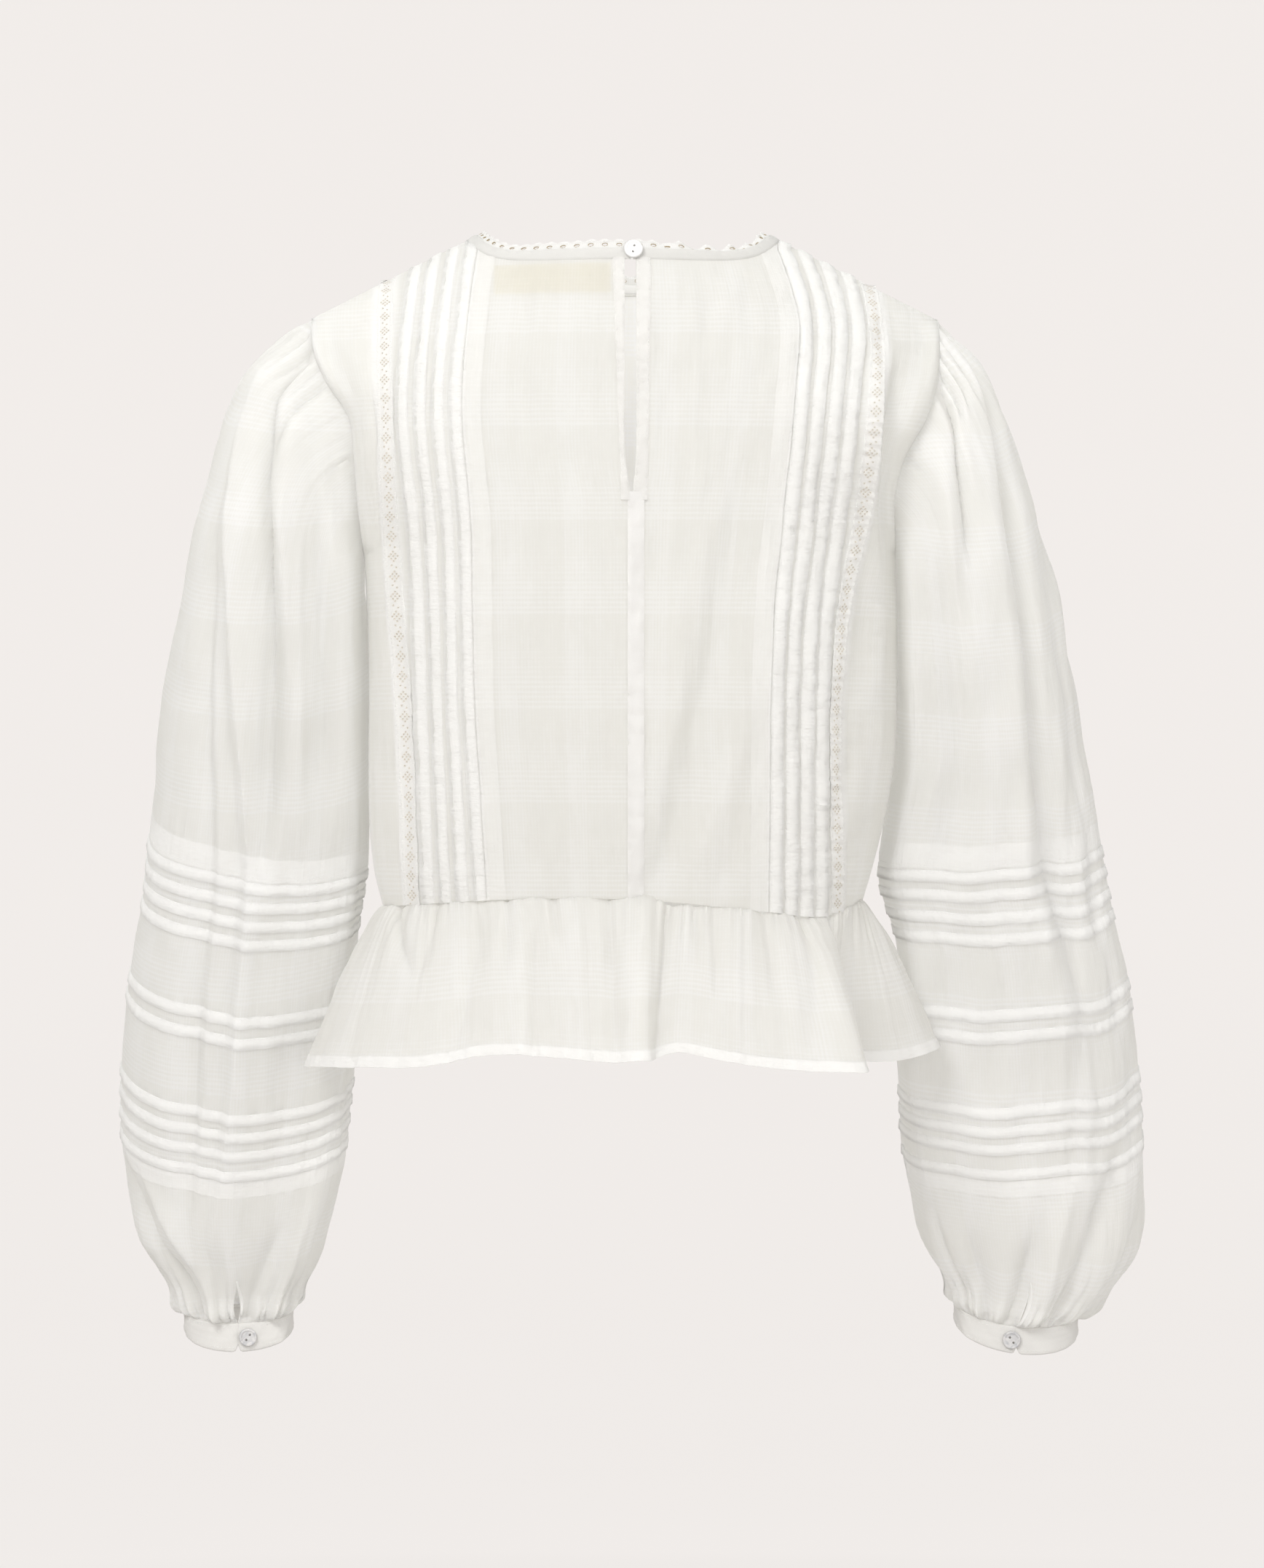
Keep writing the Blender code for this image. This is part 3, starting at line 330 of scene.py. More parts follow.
def ripple(u, v, length_u, length_v, seed):
    """Soft uneven waves of height about 1, with mean lengths across and along."""
    rng = np.random.default_rng(seed)
    total, count = 0.0, 10
    for _ in range(count):
        a, b = rng.normal(0, 1, 2)
        total = total + np.sin(2 * math.pi * (a * u / length_u + b * v / length_v + rng.uniform()))
    return total / math.sqrt(count)


def gathers(u, pitch, seed):
    """Uneven gathers: round ridges with narrow valleys, about -0.6 to 0.4 high."""
    rng = np.random.default_rng(seed)
    a, b, c = rng.uniform(0, 2 * math.pi, 3)
    w = u / pitch + 0.45 * np.sin(u / pitch * 1.3 + a) + 0.3 * np.sin(u / pitch * 0.57 + b)
    tall = 0.75 + 0.35 * np.sin(w * 2.1 + c)
    return tall * (np.abs(np.sin(math.pi * w)) ** 0.8 - 0.6)


def creases(source, u, v, turning=False, crisp=2.0):
    """Ridges, or troughs where height is negative, along soft curves through three places each. low and
    high are their widths on the two sides; crisp is 2 for a round crest and nearer 1 for a sharp one."""
    lift = np.zeros(np.broadcast(u, v).shape)
    for v0, u0, v1, u1, v2, u2, height, low, high in zip(*source.values()):
        t, m = (v - v0) / (v2 - v0), (v1 - v0) / (v2 - v0)
        centre = u0 * (t - m) * (t - 1) / m + u1 * t * (t - 1) / (m * (m - 1)) + u2 * t * (t - m) / (1 - m)
        off = u - centre
        if turning:
            off = (off + 180) % 360 - 180
        fade = smooth(t / 0.3) * smooth((1 - t) / 0.3)
        lift = lift + height * fade * np.exp(-((np.abs(off) / np.where(off < 0, low, high)) ** crisp))
    return lift


# ---- The body's form -------------------------------------------------------------------------------------


def edge_x(right, z):
    """How far the side seam, or the armhole's edge, stands from the centre line."""
    z = np.minimum(z, TIP_Z)
    return np.where(right, read(BODY, "right", z), read(BODY, "left", z))


def armhole_open(z):
    """1 halfway up the armhole, and 0 at its ends and beyond."""
    share = (z - (TIP_Z + UNDERARM_Z) / 2) / ((TIP_Z - UNDERARM_Z) / 2)
    return np.maximum(0.0, 1 - share * share)


def shoulder_z(x):
    """Height of the shoulder line."""
    out = np.hypot(x - SHOULDER_SHIFT, SHOULDER_CREST)
    return SHOULDER_Z - SHOULDER_SLOPE * (out - math.hypot(SHOULDER_NECK_X, SHOULDER_CREST))


def body_surface(face, x, z):
    """Points of the back or the front, without their creases."""
    across = np.minimum(np.abs(x) / edge_x(x > 0, z), 1.0)
    below = np.clip((shoulder_z(x) - z) / SHOULDER_ROUND[face], 0.0, 1.0)
    crown = read(BODY, face, z) * np.sqrt(1 - (1 - below) ** 2)
    open_here = armhole_open(z)
    near = smooth((across - ARMHOLE_NEAR) / (1 - ARMHOLE_NEAR))
    edge = ARMHOLE_OPEN * (near * np.sqrt(open_here) + (1 - near) * open_here**1.6)
    power = np.where(x > 0, SECTION_POWER["right"], SECTION_POWER["left"])
    y = edge + (crown - edge) * np.sqrt(1 - across**power)
    return np.stack(np.broadcast_arrays(x, -y if face == "back" else y, z), -1)


def body_normal(face, x, z):
    """Outward unit normals of the body's surface."""
    right = x > 0
    step, rise = 0.01, 0.0004
    a = np.clip(np.arcsin(np.clip(np.abs(x) / edge_x(right, z), 0, 1)), 0, math.pi / 2 - 2 * step)

    def at(a, z):
        return body_surface(face, np.where(right, 1, -1) * edge_x(right, z) * np.sin(a), z)

    n = unit(np.cross(at(a + step, z) - at(a - step, z), at(a, z + rise) - at(a, z - rise)))
    return outward(n, body_surface(face, x, z) - BODY_MIDDLE)


def neck_z(face, x):
    """Height of the neckline."""
    across = np.minimum(np.abs(x - SHOULDER_SHIFT) / SHOULDER_NECK_X, 1.0)
    middle = NECK_MIDDLE[face]
    return middle + (SHOULDER_Z - middle) * across ** NECK_RISE_POWER[face]


def top_z(face, x):
    """Height of the body's upper edge: the neckline, and the shoulders beside it."""
    return np.where(np.abs(x - SHOULDER_SHIFT) < SHOULDER_NECK_X, neck_z(face, x), shoulder_z(x))


def waist_z(face, x):
    """Height of the waist seam."""
    if face == "back":
        return read(WAIST, "z", x, "x")
    return np.interp(x, WAIST["x"][[0, -1]], WAIST["z"][[0, -1]])


def column_top(face, line):
    """Height where a line meets the body's upper edge."""
    z = top_z(face, line(0.0))
    for _ in range(30):
        z = (z + top_z(face, line(z))) / 2
    return z


def slit_x(side, z):
    """The slit's edge, next to the centre line below its tip."""
    share = np.clip((z - SLIT_TIP_Z) / SLIT_TAPER, 0.0, 1.0)
    return sign_of(side) * np.maximum(0.0001, SLIT_REACH[side] * np.sin(share * math.pi / 2))


def tuck_x(side, index, z):
    """A tuck's folded edge."""
    return sign_of(side) * (read(TUCKS, side, z) + index * read(TUCKS, side + "_step", z))


def lace_x(side, z, end):
    """The lace strip's edges: end is -1 for the inner one and 1 for the outer one."""
    width = read(LACE, "right_width", z) if side == "right" else LACE_WIDTH
    return sign_of(side) * (read(LACE, side, z) + end * width / 2)


def between(first, last, share):
    """The line at a share of the way from one line to another."""
    return lambda z: first(z) + share * (last(z) - first(z))


def side_line(side, start, share):
    """A line of the side panel, spaced evenly round the curve of the body."""

    def line(z):
        reach = edge_x(side == "right", z)
        angle = np.arcsin(np.minimum(np.abs(start(z)) / reach, 1.0)) if start else 0.0
        return sign_of(side) * reach * np.sin(angle + share * (math.pi / 2 - angle))

    return line


# Soft creases of the back and front: from below upwards, height and width in metres
BACK_CREASES = table(
    "v0 u0 v1 u1 v2 u2 height low high",
    (-0.440, 0.002, -0.300, 0.039, -0.110, 0.070, -0.0058, 0.010, 0.016),
    (-0.430, -0.012, -0.310, 0.020, -0.180, 0.036, 0.0022, 0.014, 0.010),
    (-0.400, 0.030, -0.330, 0.058, -0.200, 0.071, 0.0026, 0.010, 0.016),
    (-0.420, 0.040, -0.350, 0.066, -0.290, 0.074, -0.0015, 0.006, 0.007),
    (-0.330, -0.050, -0.220, -0.049, -0.100, -0.038, -0.0022, 0.009, 0.011),
    (-0.420, -0.060, -0.330, -0.066, -0.230, -0.068, -0.0016, 0.010, 0.008),
    (-0.230, 0.0160, -0.175, 0.0135, -0.120, 0.0120, -0.0016, 0.003, 0.007),
    (-0.415, -0.0660, -0.396, -0.0560, -0.384, -0.0440, 0.0011, 0.007, 0.005),
    (-0.412, -0.0520, -0.398, -0.0480, -0.386, -0.0360, -0.0011, 0.005, 0.006),
    (-0.200, 0.1560, -0.125, 0.1565, -0.055, 0.1680, -0.0080, 0.0035, 0.014),
    (-0.230, 0.1500, -0.130, 0.1490, -0.060, 0.1560, 0.0030, 0.010, 0.004),
    (-0.360, 0.1330, -0.270, 0.1360, -0.180, 0.1480, -0.0034, 0.007, 0.009),
    (-0.330, 0.1480, -0.250, 0.1530, -0.150, 0.1580, 0.0018, 0.008, 0.006),
    (-0.300, -0.1560, -0.220, -0.1560, -0.120, -0.1630, 0.0012, 0.006, 0.006),
)
FRONT_CREASES = table(
    "v0 u0 v1 u1 v2 u2 height low high",
    (-0.440, -0.006, -0.300, -0.030, -0.110, -0.052, -0.0048, 0.014, 0.011),
    (-0.430, 0.014, -0.300, 0.034, -0.130, 0.062, -0.0052, 0.011, 0.015),
    (-0.430, 0.004, -0.300, 0.003, -0.150, 0.008, 0.0020, 0.013, 0.012),
    (-0.410, -0.060, -0.310, -0.074, -0.150, -0.085, -0.0040, 0.012, 0.010),
    (-0.420, 0.066, -0.330, 0.084, -0.180, 0.097, -0.0036, 0.010, 0.013),
    (-0.400, -0.100, -0.300, -0.112, -0.140, -0.126, 0.0026, 0.012, 0.012),
    (-0.400, 0.098, -0.310, 0.114, -0.160, 0.124, 0.0024, 0.012, 0.010),
    (-0.300, -0.150, -0.220, -0.142, -0.110, -0.150, -0.0030, 0.008, 0.008),
    (-0.310, 0.150, -0.230, 0.144, -0.120, 0.152, -0.0028, 0.008, 0.009),
)
BODY_CREASES = {"back": BACK_CREASES, "front": FRONT_CREASES}


# Broad and fine unevenness: height, mean length across and along, and seed
BODY_UNEVEN = {
    "back": ((0.00070, 0.045, 0.140, 3), (0.00022, 0.015, 0.060, 5)),
    "front": ((0.00070, 0.045, 0.140, 4), (0.00022, 0.015, 0.060, 5)),
}
SLEEVE_UNEVEN = ((0.0010, 0.036, 0.130, 41), (0.00035, 0.014, 0.060, 43))


def body_lift(face, x, z):
    """How far the body's creases and uneven lie move the cloth."""
    lift = creases(BODY_CREASES[face], x, z)
    for height, *shape in BODY_UNEVEN[face]:
        lift = lift + height * ripple(x, z, *shape)
    room = edge_x(x > 0, z) - np.abs(x)
    wrinkled = smooth((0.075 - np.abs(x - 0.150)) / 0.030) * (x > 0) if face == "back" else 0.0
    lift = lift + 0.0004 * wrinkled * ripple(x, z, 0.035, 0.010, 8)
    ends = smooth((top_z(face, x) - z) / 0.030) * smooth(0.15 + (z - waist_z(face, x)) / 0.025)
    return lift * smooth(room / 0.015) * ends


def on_back(x, z, lift):
    """Points raised off the creased back, and the way they face."""
    n = body_normal("back", x, z)
    return body_surface("back", x, z) + n * (body_lift("back", x, z) + lift)[..., None], n


# ---- Shells --------------------------------------------------------------------------------------------


def grid_faces(rows, columns, wrap=False, keep=None):
    """The quads of a grid, joined up round its columns if wrap, or only those that keep allows."""
    i, j = np.mgrid[0 : rows - 1, 0 : columns if wrap else columns - 1]
    k = (j + 1) % columns
    faces = np.stack([i * columns + j, i * columns + k, (i + 1) * columns + k, (i + 1) * columns + j], -1)
    return faces.reshape(-1, 4) if keep is None else faces[keep]


def grid_normals(points, away, wrap=False):
    """Unit normals of a grid, on the side that away points to."""
    if wrap:
        across = np.gradient(np.concatenate([points[:, -1:], points, points[:, :1]], 1), axis=1)[:, 1:-1]
    else:
        across = np.gradient(points, axis=1)
    n = unit(np.cross(across, np.gradient(points, axis=0)))
    return n if np.sum(n * away) > 0 else -n


made = {}  # every piece of the blouse by its name


def add(name, data):
    """A new object in the scene."""
    item = bpy.data.objects.new(name, data)
    bpy.context.scene.collection.objects.link(item)
    return item


def link(name, vertices, faces, material, sharp):
    """A piece of the blouse, riding on the body."""
    mesh = bpy.data.meshes.new(name)
    mesh.from_pydata(vertices.tolist(), [], faces)
    mesh.validate()
    mesh.shade_smooth()
    mesh.set_sharp_from_angle(angle=math.radians(sharp))
    mesh.materials.append(material)
    piece = add(name, mesh)
    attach(piece, "root")
    made[name] = piece
    return piece


def shell(name, outer, inner, faces, material, cloth=None, sharp=60):
    """A closed thin shell between two sheets of points, in place of the CAD node of its name. cloth holds,
    for each point, its place in the cloth across and along, and how doubled the cloth is there; on the lace
    that last value also marks the painted shade round its holes, and on the left side panel it carries
    painted light."""
    outer, inner = outer.reshape(-1, 3), inner.reshape(-1, 3)
    used, faces = np.unique(faces, return_inverse=True)
    faces = faces.reshape(-1, 4)
    outer, inner = outer[used], inner[used]
    count = len(used)
    a, b, c, d = (outer[faces[:, k]] for k in range(4))
    if np.sum(np.cross(c - a, d - b) * (outer - inner)[faces[:, 0]]) < 0:
        faces = faces[:, ::-1]
    start, end = faces.ravel(), np.roll(faces, -1, 1).ravel()
    rim = ~np.isin(start * count + end, end * count + start)
    start, end = start[rim], end[rim]
    sides = np.stack([end, start, start + count, end + count], 1)
    every = np.concatenate([faces, faces[:, ::-1] + count, sides])
    piece = link(name, np.concatenate([outer, inner]), every.tolist(), material, sharp)
    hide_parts(name)
    if cloth is not None:
        cloth = np.broadcast_to(cloth, (len(cloth), *cloth.shape[1:])).reshape(-1, 3)[used]
        layer = piece.data.attributes.new("cloth", "FLOAT_VECTOR", "POINT")
        layer.data.foreach_set("vector", np.concatenate([cloth, cloth]).astype(np.float32).ravel())
    return piece


def ends_twice(rows):
    """Rows with the first and the last one repeated, for the edges that are turned in."""
    return np.concatenate([rows[:1], rows, rows[-1:]])


def body_rows():
    """Shares of the body's height, closer together where the cloth turns over the shoulder."""
    turn = 0.15
    low = np.linspace(0, 1 - turn, 134)
    high = 1 - turn * (1 - np.linspace(0, 1, 36)[1:]) ** 2
    return np.concatenate([low, high])


def body_piece(name, face, stations, material, shift=0.0, pucker=0.0, shares=None, ends=(None, None)):
    """A panel of the body from its columns, each a line, a height off the form and how doubled it is. shift
    moves its check across, and ends are the heights it runs between, if not the waist and the neckline or
    shoulder."""
    shares = body_rows() if shares is None else shares
    lines, lifts, layers = zip(*stations)
    x, z = (np.empty((len(shares), len(lines))) for _ in range(2))
    for j, line in enumerate(lines):
        low = waist_z(face, line(WAIST_Z)) if ends[0] is None else ends[0]
        high = column_top(face, line) if ends[1] is None else ends[1]
        z[:, j] = low + shares * (high - low)
        x[:, j] = line(z[:, j])
    n, layers = body_normal(face, x, z), np.broadcast_to(layers, x.shape)
    lift = np.array(lifts) + body_lift(face, x, z) + pucker * layers * ripple(x, z, 0.014, 0.0085, 11)
    outer = body_surface(face, x, z) + n * lift[..., None]
    outer = np.concatenate([outer[:1] - n[:1] * TURN_IN, outer, outer[-1:] - n[-1:] * TURN_IN])
    z, layers, n = (ends_twice(a) for a in (z, layers, n))
    inner = outer - grid_normals(outer, n) * CLOTH
    across = run_of(outer[len(outer) // 2]) + shift
    cloth = np.stack([np.broadcast_to(across, z.shape), -z, layers], -1)
    shell(name, outer, inner, grid_faces(*z.shape), material, cloth)


def rows_of(source):
    """A table's rows, bottom row last."""
    return list(zip(*source.values()))


def back_panel(side, material):
    """From the slit and the centre seam, over the four tucks, to the lace."""
    sign = sign_of(side)

    def fold(index, offset):
        return lambda z: tuck_x(side, index, z) + sign * offset

    first = lambda z: slit_x(side, z)
    press = TUCK_PRESS[side]
    stations = [(first, -TURN_IN, 0)]
    start = UNDERLAY["offset"][0]
    stations += [(between(first, fold(0, start), share), 0, 0) for share in np.linspace(0, 1, 36)[:-1]]
    stations += [(fold(0, offset), lift, layer) for offset, lift, layer in rows_of(UNDERLAY)]
    for index in range(TUCK_COUNT):
        for offset, lift, layer in rows_of(TUCK_SECTION):
            stations.append((fold(index, offset), lift * press, layer))
    outer = lambda z: lace_x(side, z, -1)
    last = fold(TUCK_COUNT - 1, 0.0012)
    stations += [(between(last, outer, share), 0, layer) for share, layer in ((0.3, 0), (0.6, 0.4), (1, 1))]
    stations.append((outer, -TURN_IN, 1))
    body_piece("back_" + side, "back", stations, material, CHECK_SHIFT[side], PUCKER)


def side_panel(side, material):
    """From the lace to the side seam and the armhole."""
    start = lambda z: lace_x(side, z, 1)
    shares = np.concatenate([[0, 0.03, 0.08], np.linspace(0.13, 1, 30)])
    stations = [(start, -TURN_IN, 1)]
    for share in shares:
        # The cloth by the lace is doubled. On the left, the outer part is also given as doubled, which makes
        # it lighter: painted light where the sleeve shades it.
        layer = 1.0 if share < 0.05 else float(smooth((share - 0.55) / 0.3)) * (side == "left")
        lift = 0.0004 * smooth((share - 0.93) / 0.05)
        stations.append((side_line(side, start, share), lift, layer))
    stations.append((side_line(side, start, 1.0), -TURN_IN, 0.5))
    body_piece("back_side_" + side, "back", stations, material, 0.013)


def front_panel(material):
    """The whole front, from side seam to side seam."""
    stations = [(side_line("left", None, share), 0, 0) for share in np.linspace(1, 0, 56)]
    stations += [(side_line("right", None, share), 0, 0) for share in np.linspace(0, 1, 56)[1:]]
    first, last = ((side_line(side, None, 1.0), -TURN_IN, 0.5) for side in SIDES)
    stations = [first, *stations, last]
    body_piece("front", "front", stations, material, shares=body_rows()[::2])


def thin_strip(name, inner, outer, ends, height, material, rows=90):
    """A narrow band of doubled cloth lying on the back, between two lines."""
    shares = np.linspace(0, 1, 7)
    crown = 1 - np.abs(2 * shares - 1) ** 6
    heights = height * (0.35 + 0.65 * crown)
    stations = [(between(inner, outer, share), rise, 1) for share, rise in zip(shares, heights)]
    body_piece(name, "back", stations, material, 0.0, PUCKER, np.linspace(0, 1, rows), ends)


def facing_edge(side, inset=0.0):
    """The line of a slit facing's outer edge."""
    tip, neck = FACING_OUTER[side]
    return lambda z: sign_of(side) * (tip + (neck - tip) * (z - SLIT_TIP_Z) / -SLIT_TIP_Z - inset)


def facing(side, material):
    """The strip turned back beside the slit."""
    inner = lambda z: slit_x(side, z)
    ends = (SLIT_TIP_Z - 0.001, None)
    thin_strip("slit_facing_" + side, inner, facing_edge(side), ends, FACING_RISE, material)


def centre_back_band(material):
    """The band over the centre seam, from the slit to the waist."""
    first, last = (lambda z, side=side: sign_of(side) * CENTRE_BAND_OUTER[side] + 0 * z for side in SIDES)
    ends = (None, SLIT_TIP_Z + 0.004)
    thin_strip("centre_back_band", first, last, ends, BAND_RISE, material, rows=110)


def neck_label(material):
    """The blank label, on the inside."""
    inner, outer = (lambda z, x=x: x + 0 * z for x in LABEL_X)
    stations = [(between(inner, outer, share), -LABEL_DEPTH, 1) for share in np.linspace(0, 1, 30)]
    body_piece("neck_label", "back", stations, material, shares=np.linspace(0, 1, 12), ends=LABEL_Z)


# ---- Openwork --------------------------------------------------------------------------------------------


def openwork(width, length, cell, field):
    """A flat net: places across and along, and the cells left where field is above 0. The edges of the
    holes are drawn onto the field's zero line."""
    across, along = round(width / cell) + 1, round(length / cell) + 1
    u, v = np.meshgrid(np.linspace(0, width, across), np.linspace(0, length, along))
    level = field(u, v)
    keep = (level[:-1, :-1] + level[1:, :-1] + level[:-1, 1:] + level[1:, 1:]) > 0
    padded = np.pad(keep, 1, mode="edge")
    around = [padded[a : a + along, b : b + across] for a in (0, 1) for b in (0, 1)]
    edge = np.any(around, 0) & ~np.all(around, 0)
    dv, du = np.gradient(level, v[1, 0], u[0, 1])
    step = np.where(edge, -level / np.maximum(du**2 + dv**2, 0.05), 0)
    reach = 0.6 * cell
    u, v = u + np.clip(step * du, -reach, reach), v + np.clip(step * dv, -reach, reach)
    return u, v, grid_faces(along, across, keep=keep)


def nearest_hole(u, v, holes):
    """Distance from the nearest hole's rim, below 0 inside it."""
    return np.min([np.hypot((u - x) / wide, v - y) - r for x, y, r, wide in holes], axis=0)


LACE_REPEAT = 0.0123
EYELET_STEP = (0.00124, 0.00146)  # across and along, from one eyelet of a diamond to the next
EYELET = 0.00050  # radius


def lace_field(u, v):
    """Diamonds of nine eyelets, with two single holes between each and the next."""
    u, v = u - LACE_WIDTH / 2, v % LACE_REPEAT - LACE_REPEAT / 2
    a, b = EYELET_STEP
    holes = [((i - j) * a, (i + j) * b, EYELET, 1) for i in (-1, 0, 1) for j in (-1, 0, 1)]
    for end in (-0.5, 0.5):
        holes += [(x, end * LACE_REPEAT + x * 0.55, 0.00045, 1) for x in (-0.0013, 0.0013)]
    return nearest_hole(u, v, holes)


def lace_strip(side, material):
    """The insertion lace: a net with raised borders, on the body between the main panel and the side."""
    middle = lambda z: (lace_x(side, z, -1) + lace_x(side, z, 1)) / 2
    low, high = waist_z("back", middle(WAIST_Z)), column_top("back", middle)
    heights = low + body_rows() * (high - low)
    run = run_of(body_surface("back", middle(heights), heights))
    u, v, faces = openwork(LACE_WIDTH, run[-1], LACE_CELL, lace_field)
    z = np.interp(v, run, heights)
    share = u / LACE_WIDTH
    x = lace_x(side, z, -1) * (1 - share) + lace_x(side, z, 1) * share
    border = smooth((np.abs(2 * share - 1) - 0.70) / 0.1)
    cord = 0.00022 * border + 0.00006 * (1 - border) * np.cos(2 * math.pi * (u + v) / 0.0021)
    cord = cord + 0.00007 * border * np.sin(2 * math.pi * v / 0.0016)
    outer, n = on_back(x, z, cord)
    # Painted shade: the threads round each hole are marked to be darkened
    rim = smooth(1 - lace_field(u, v) / 0.00028)
    cloth = np.stack([u, v, border - rim], -1)
    shell("lace_strip_" + side, outer, outer - n * 2 * CLOTH, faces, material, cloth)


# ---- Neck ------------------------------------------------------------------------------------------------


def round_the_body(a, x, height):
    """Points on the back or, where the angle a looks forward, on the front, at each one's own height."""
    back, front = (body_surface(face, x, height(face, x)) for face in ("back", "front"))
    return np.where((np.cos(a) >= 0)[..., None], back, front)


def neck_frame(turn):
    """Points of the neckline, the way the neckband stands and the way it faces, at degrees from the back."""
    a = np.radians(turn)
    x = SHOULDER_SHIFT + SHOULDER_NECK_X * np.sin(a)
    point = round_the_body(a, x, neck_z)
    side_in, middle_in, middle_up, side_up = NECK_LEAN
    up = middle_up * np.cos(a) ** 2 + side_up * np.sin(a) ** 2
    rise = unit(np.stack([-side_in * np.sin(a), middle_in * np.cos(a), up], -1))
    along = np.gradient(point, axis=-2)
    way = unit(np.cross(along, rise))
    return point, rise, outward(way, (point - (SHOULDER_SHIFT, 0, 0)) * (1, 1, 0))


def neck_turns(count):
    """Degrees from one edge of the neck's opening, round the front, to the other."""
    edges = (NECK_HALF_GAP, -NECK_HALF_GAP)
    start, end = (math.degrees(math.asin((x - SHOULDER_SHIFT) / SHOULDER_NECK_X)) for x in edges)
    return np.linspace(start, 360 + end, count)


# The binding in section: height above the neckline and distance out from it
BINDING = table(
    "height out",
    (-0.0010, -0.0006),
    (-0.0013, 0.0000),
    (-0.0010, 0.0004),
    (0.0006, 0.0007),
    (0.0030, 0.0009),
    (0.0054, 0.0008),
    (0.0064, 0.0005),
    (0.0066, 0.0000),
    (0.0062, -0.0007),
    (0.0040, -0.0009),
    (0.0010, -0.0009),
)


def right_of_back(turn):
    """1 over the right half of the back's neckline, where the binding puckers and the edging twists."""
    return smooth((turn - 8) / 14) * smooth((92 - turn) / 16)


def neck_binding(material):
    """The narrow band folded over the neck's edge, with small puckers."""
    turn = neck_turns(560)
    point, rise, way = neck_frame(turn)
    height, out = BINDING["height"][:, None], BINDING["out"][:, None]
    face = smooth(out / 0.0012)
    pucker = (0.25 + 0.75 * right_of_back(turn)) * 0.00042 * gathers(turn, 2.3, 21)
    out = out + face * pucker + 0.0002 * face * ripple(turn, height, 9, 0.02, 22)
    height = height * (1 + 0.05 * ripple(turn, 0, 14, 1, 23))
    outer = point + rise * height[..., None] + way * out[..., None]
    n = grid_normals(outer, np.broadcast_to(way, outer.shape) * np.sign(out + 1e-4)[..., None])
    shell("neck_binding", outer, outer - n * CLOTH, grid_faces(*out.shape), material)


EDGING_REPEAT = 0.0090
EDGING_CELL = 0.00045


def edging_field(u, v):
    """A row of oval eyelets under shallow scallops; u is the height and v runs round the neck."""
    along = v % EDGING_REPEAT - EDGING_REPEAT / 2
    hole = np.hypot((u - 0.0024) / 0.55, along) - 0.0016
    top = 0.0046 + 0.0013 * np.cos(math.pi * along / EDGING_REPEAT) ** 2 - u
    return np.minimum(hole, top)


def neck_lace_edging(material):
    """The eyelet edging that stands on the binding, twisted over on the right of the back."""
    turn = neck_turns(900)
    point, rise, way = neck_frame(turn)
    base = point + rise * (BINDING_HEIGHT - 0.0004)
    run = run_of(base)
    u, v, faces = openwork(EDGING_HEIGHT + 0.0006, run[-1], EDGING_CELL, edging_field)
    at = np.interp(v, run, turn)
    base, rise, way = (along_route(v, run, a) for a in (base, rise, way))
    twist = right_of_back(at) * (0.55 + 0.45 * np.sin(2 * math.pi * v / 0.0180 + 0.8 * np.sin(v * 90)))
    crochet = 0.0001 * np.sin(2 * math.pi * v / 0.0011) * smooth(u / 0.003)
    cord = 0.00045 * smooth((u - 0.0038) / 0.0008) + crochet
    lean = 0.10 * np.sin(v * 160) + 0.85 * twist
    outer = base + (rise * np.cos(lean)[..., None] - way * np.sin(lean)[..., None]) * u[..., None]
    face = way * np.cos(lean)[..., None] + rise * np.sin(lean)[..., None]
    outer = outer + face * cord[..., None]
    # Painted shade: the threads round each eyelet are marked to be darkened
    rim = smooth(1 - edging_field(u, v) / 0.00055) * (u < 0.0042)
    cloth = np.stack([u, v, 1 - 3 * rim], -1)
    shell("neck_lace_edging", outer, outer - face * 0.0007, faces, material, cloth)


# ---- Sleeves ---------------------------------------------------------------------------------------------


def armhole_point(side, turn):
    """Where the sleeve is sewn in: 0 degrees at the shoulder's tip, 90 at the rear, 180 at the underarm."""
    z = (TIP_Z + UNDERARM_Z) / 2 + (TIP_Z - UNDERARM_Z) / 2 * np.cos(np.radians(turn))
    y = -ARMHOLE_OPEN * np.sin(np.radians(turn))
    return np.stack([sign_of(side) * (edge_x(side == "right", z) + 0.0003), y, z], -1)


def section_point(side, turn, down):
    """The sleeve's plain section: 0 degrees at its outer edge, 90 at the rear and 180 beside the body."""
    row = {name: read(SLEEVE[side], name, down, "down") for name in SLEEVE[side]}
    c, s = np.cos(np.radians(turn)), np.sin(np.radians(turn))
    x = (row["out"] + row["in"]) / 2 + (row["out"] - row["in"]) / 2 * c
    z = -(row["down"] + row["in_down"]) / 2 + (row["in_down"] - row["down"]) / 2 * c
    z = z - row["dip"] * np.maximum(s, 0)
    full = SLEEVE_INNER_FULLNESS * np.sqrt(1e-4 + s * s) * (1 - np.abs(s)) * 2.0
    full = np.where((s > 0) & (c < 0), full, 0)
    return np.stack([sign_of(side) * x, row["mid"] - row["half"] * (s + full * c * c), z], -1)


def wrist(side):
    """How far down the sleeve's lower end is, and its radius from side to side."""
    down, out, inner = (SLEEVE[side][name][-1] for name in ("down", "out", "in"))
    return down, (out - inner) / 2


def sleeve_form(side, turn, down):
    """The sections, drawn over to the armhole at the top."""
    top = SLEEVE[side]["down"][0]
    left = np.maximum(1 - np.maximum(down - top, 0) / ARMHOLE_BLEND, 0)[..., None]
    drawn = armhole_point(side, turn) - section_point(side, turn, top)
    return section_point(side, turn, down) + drawn * left**2


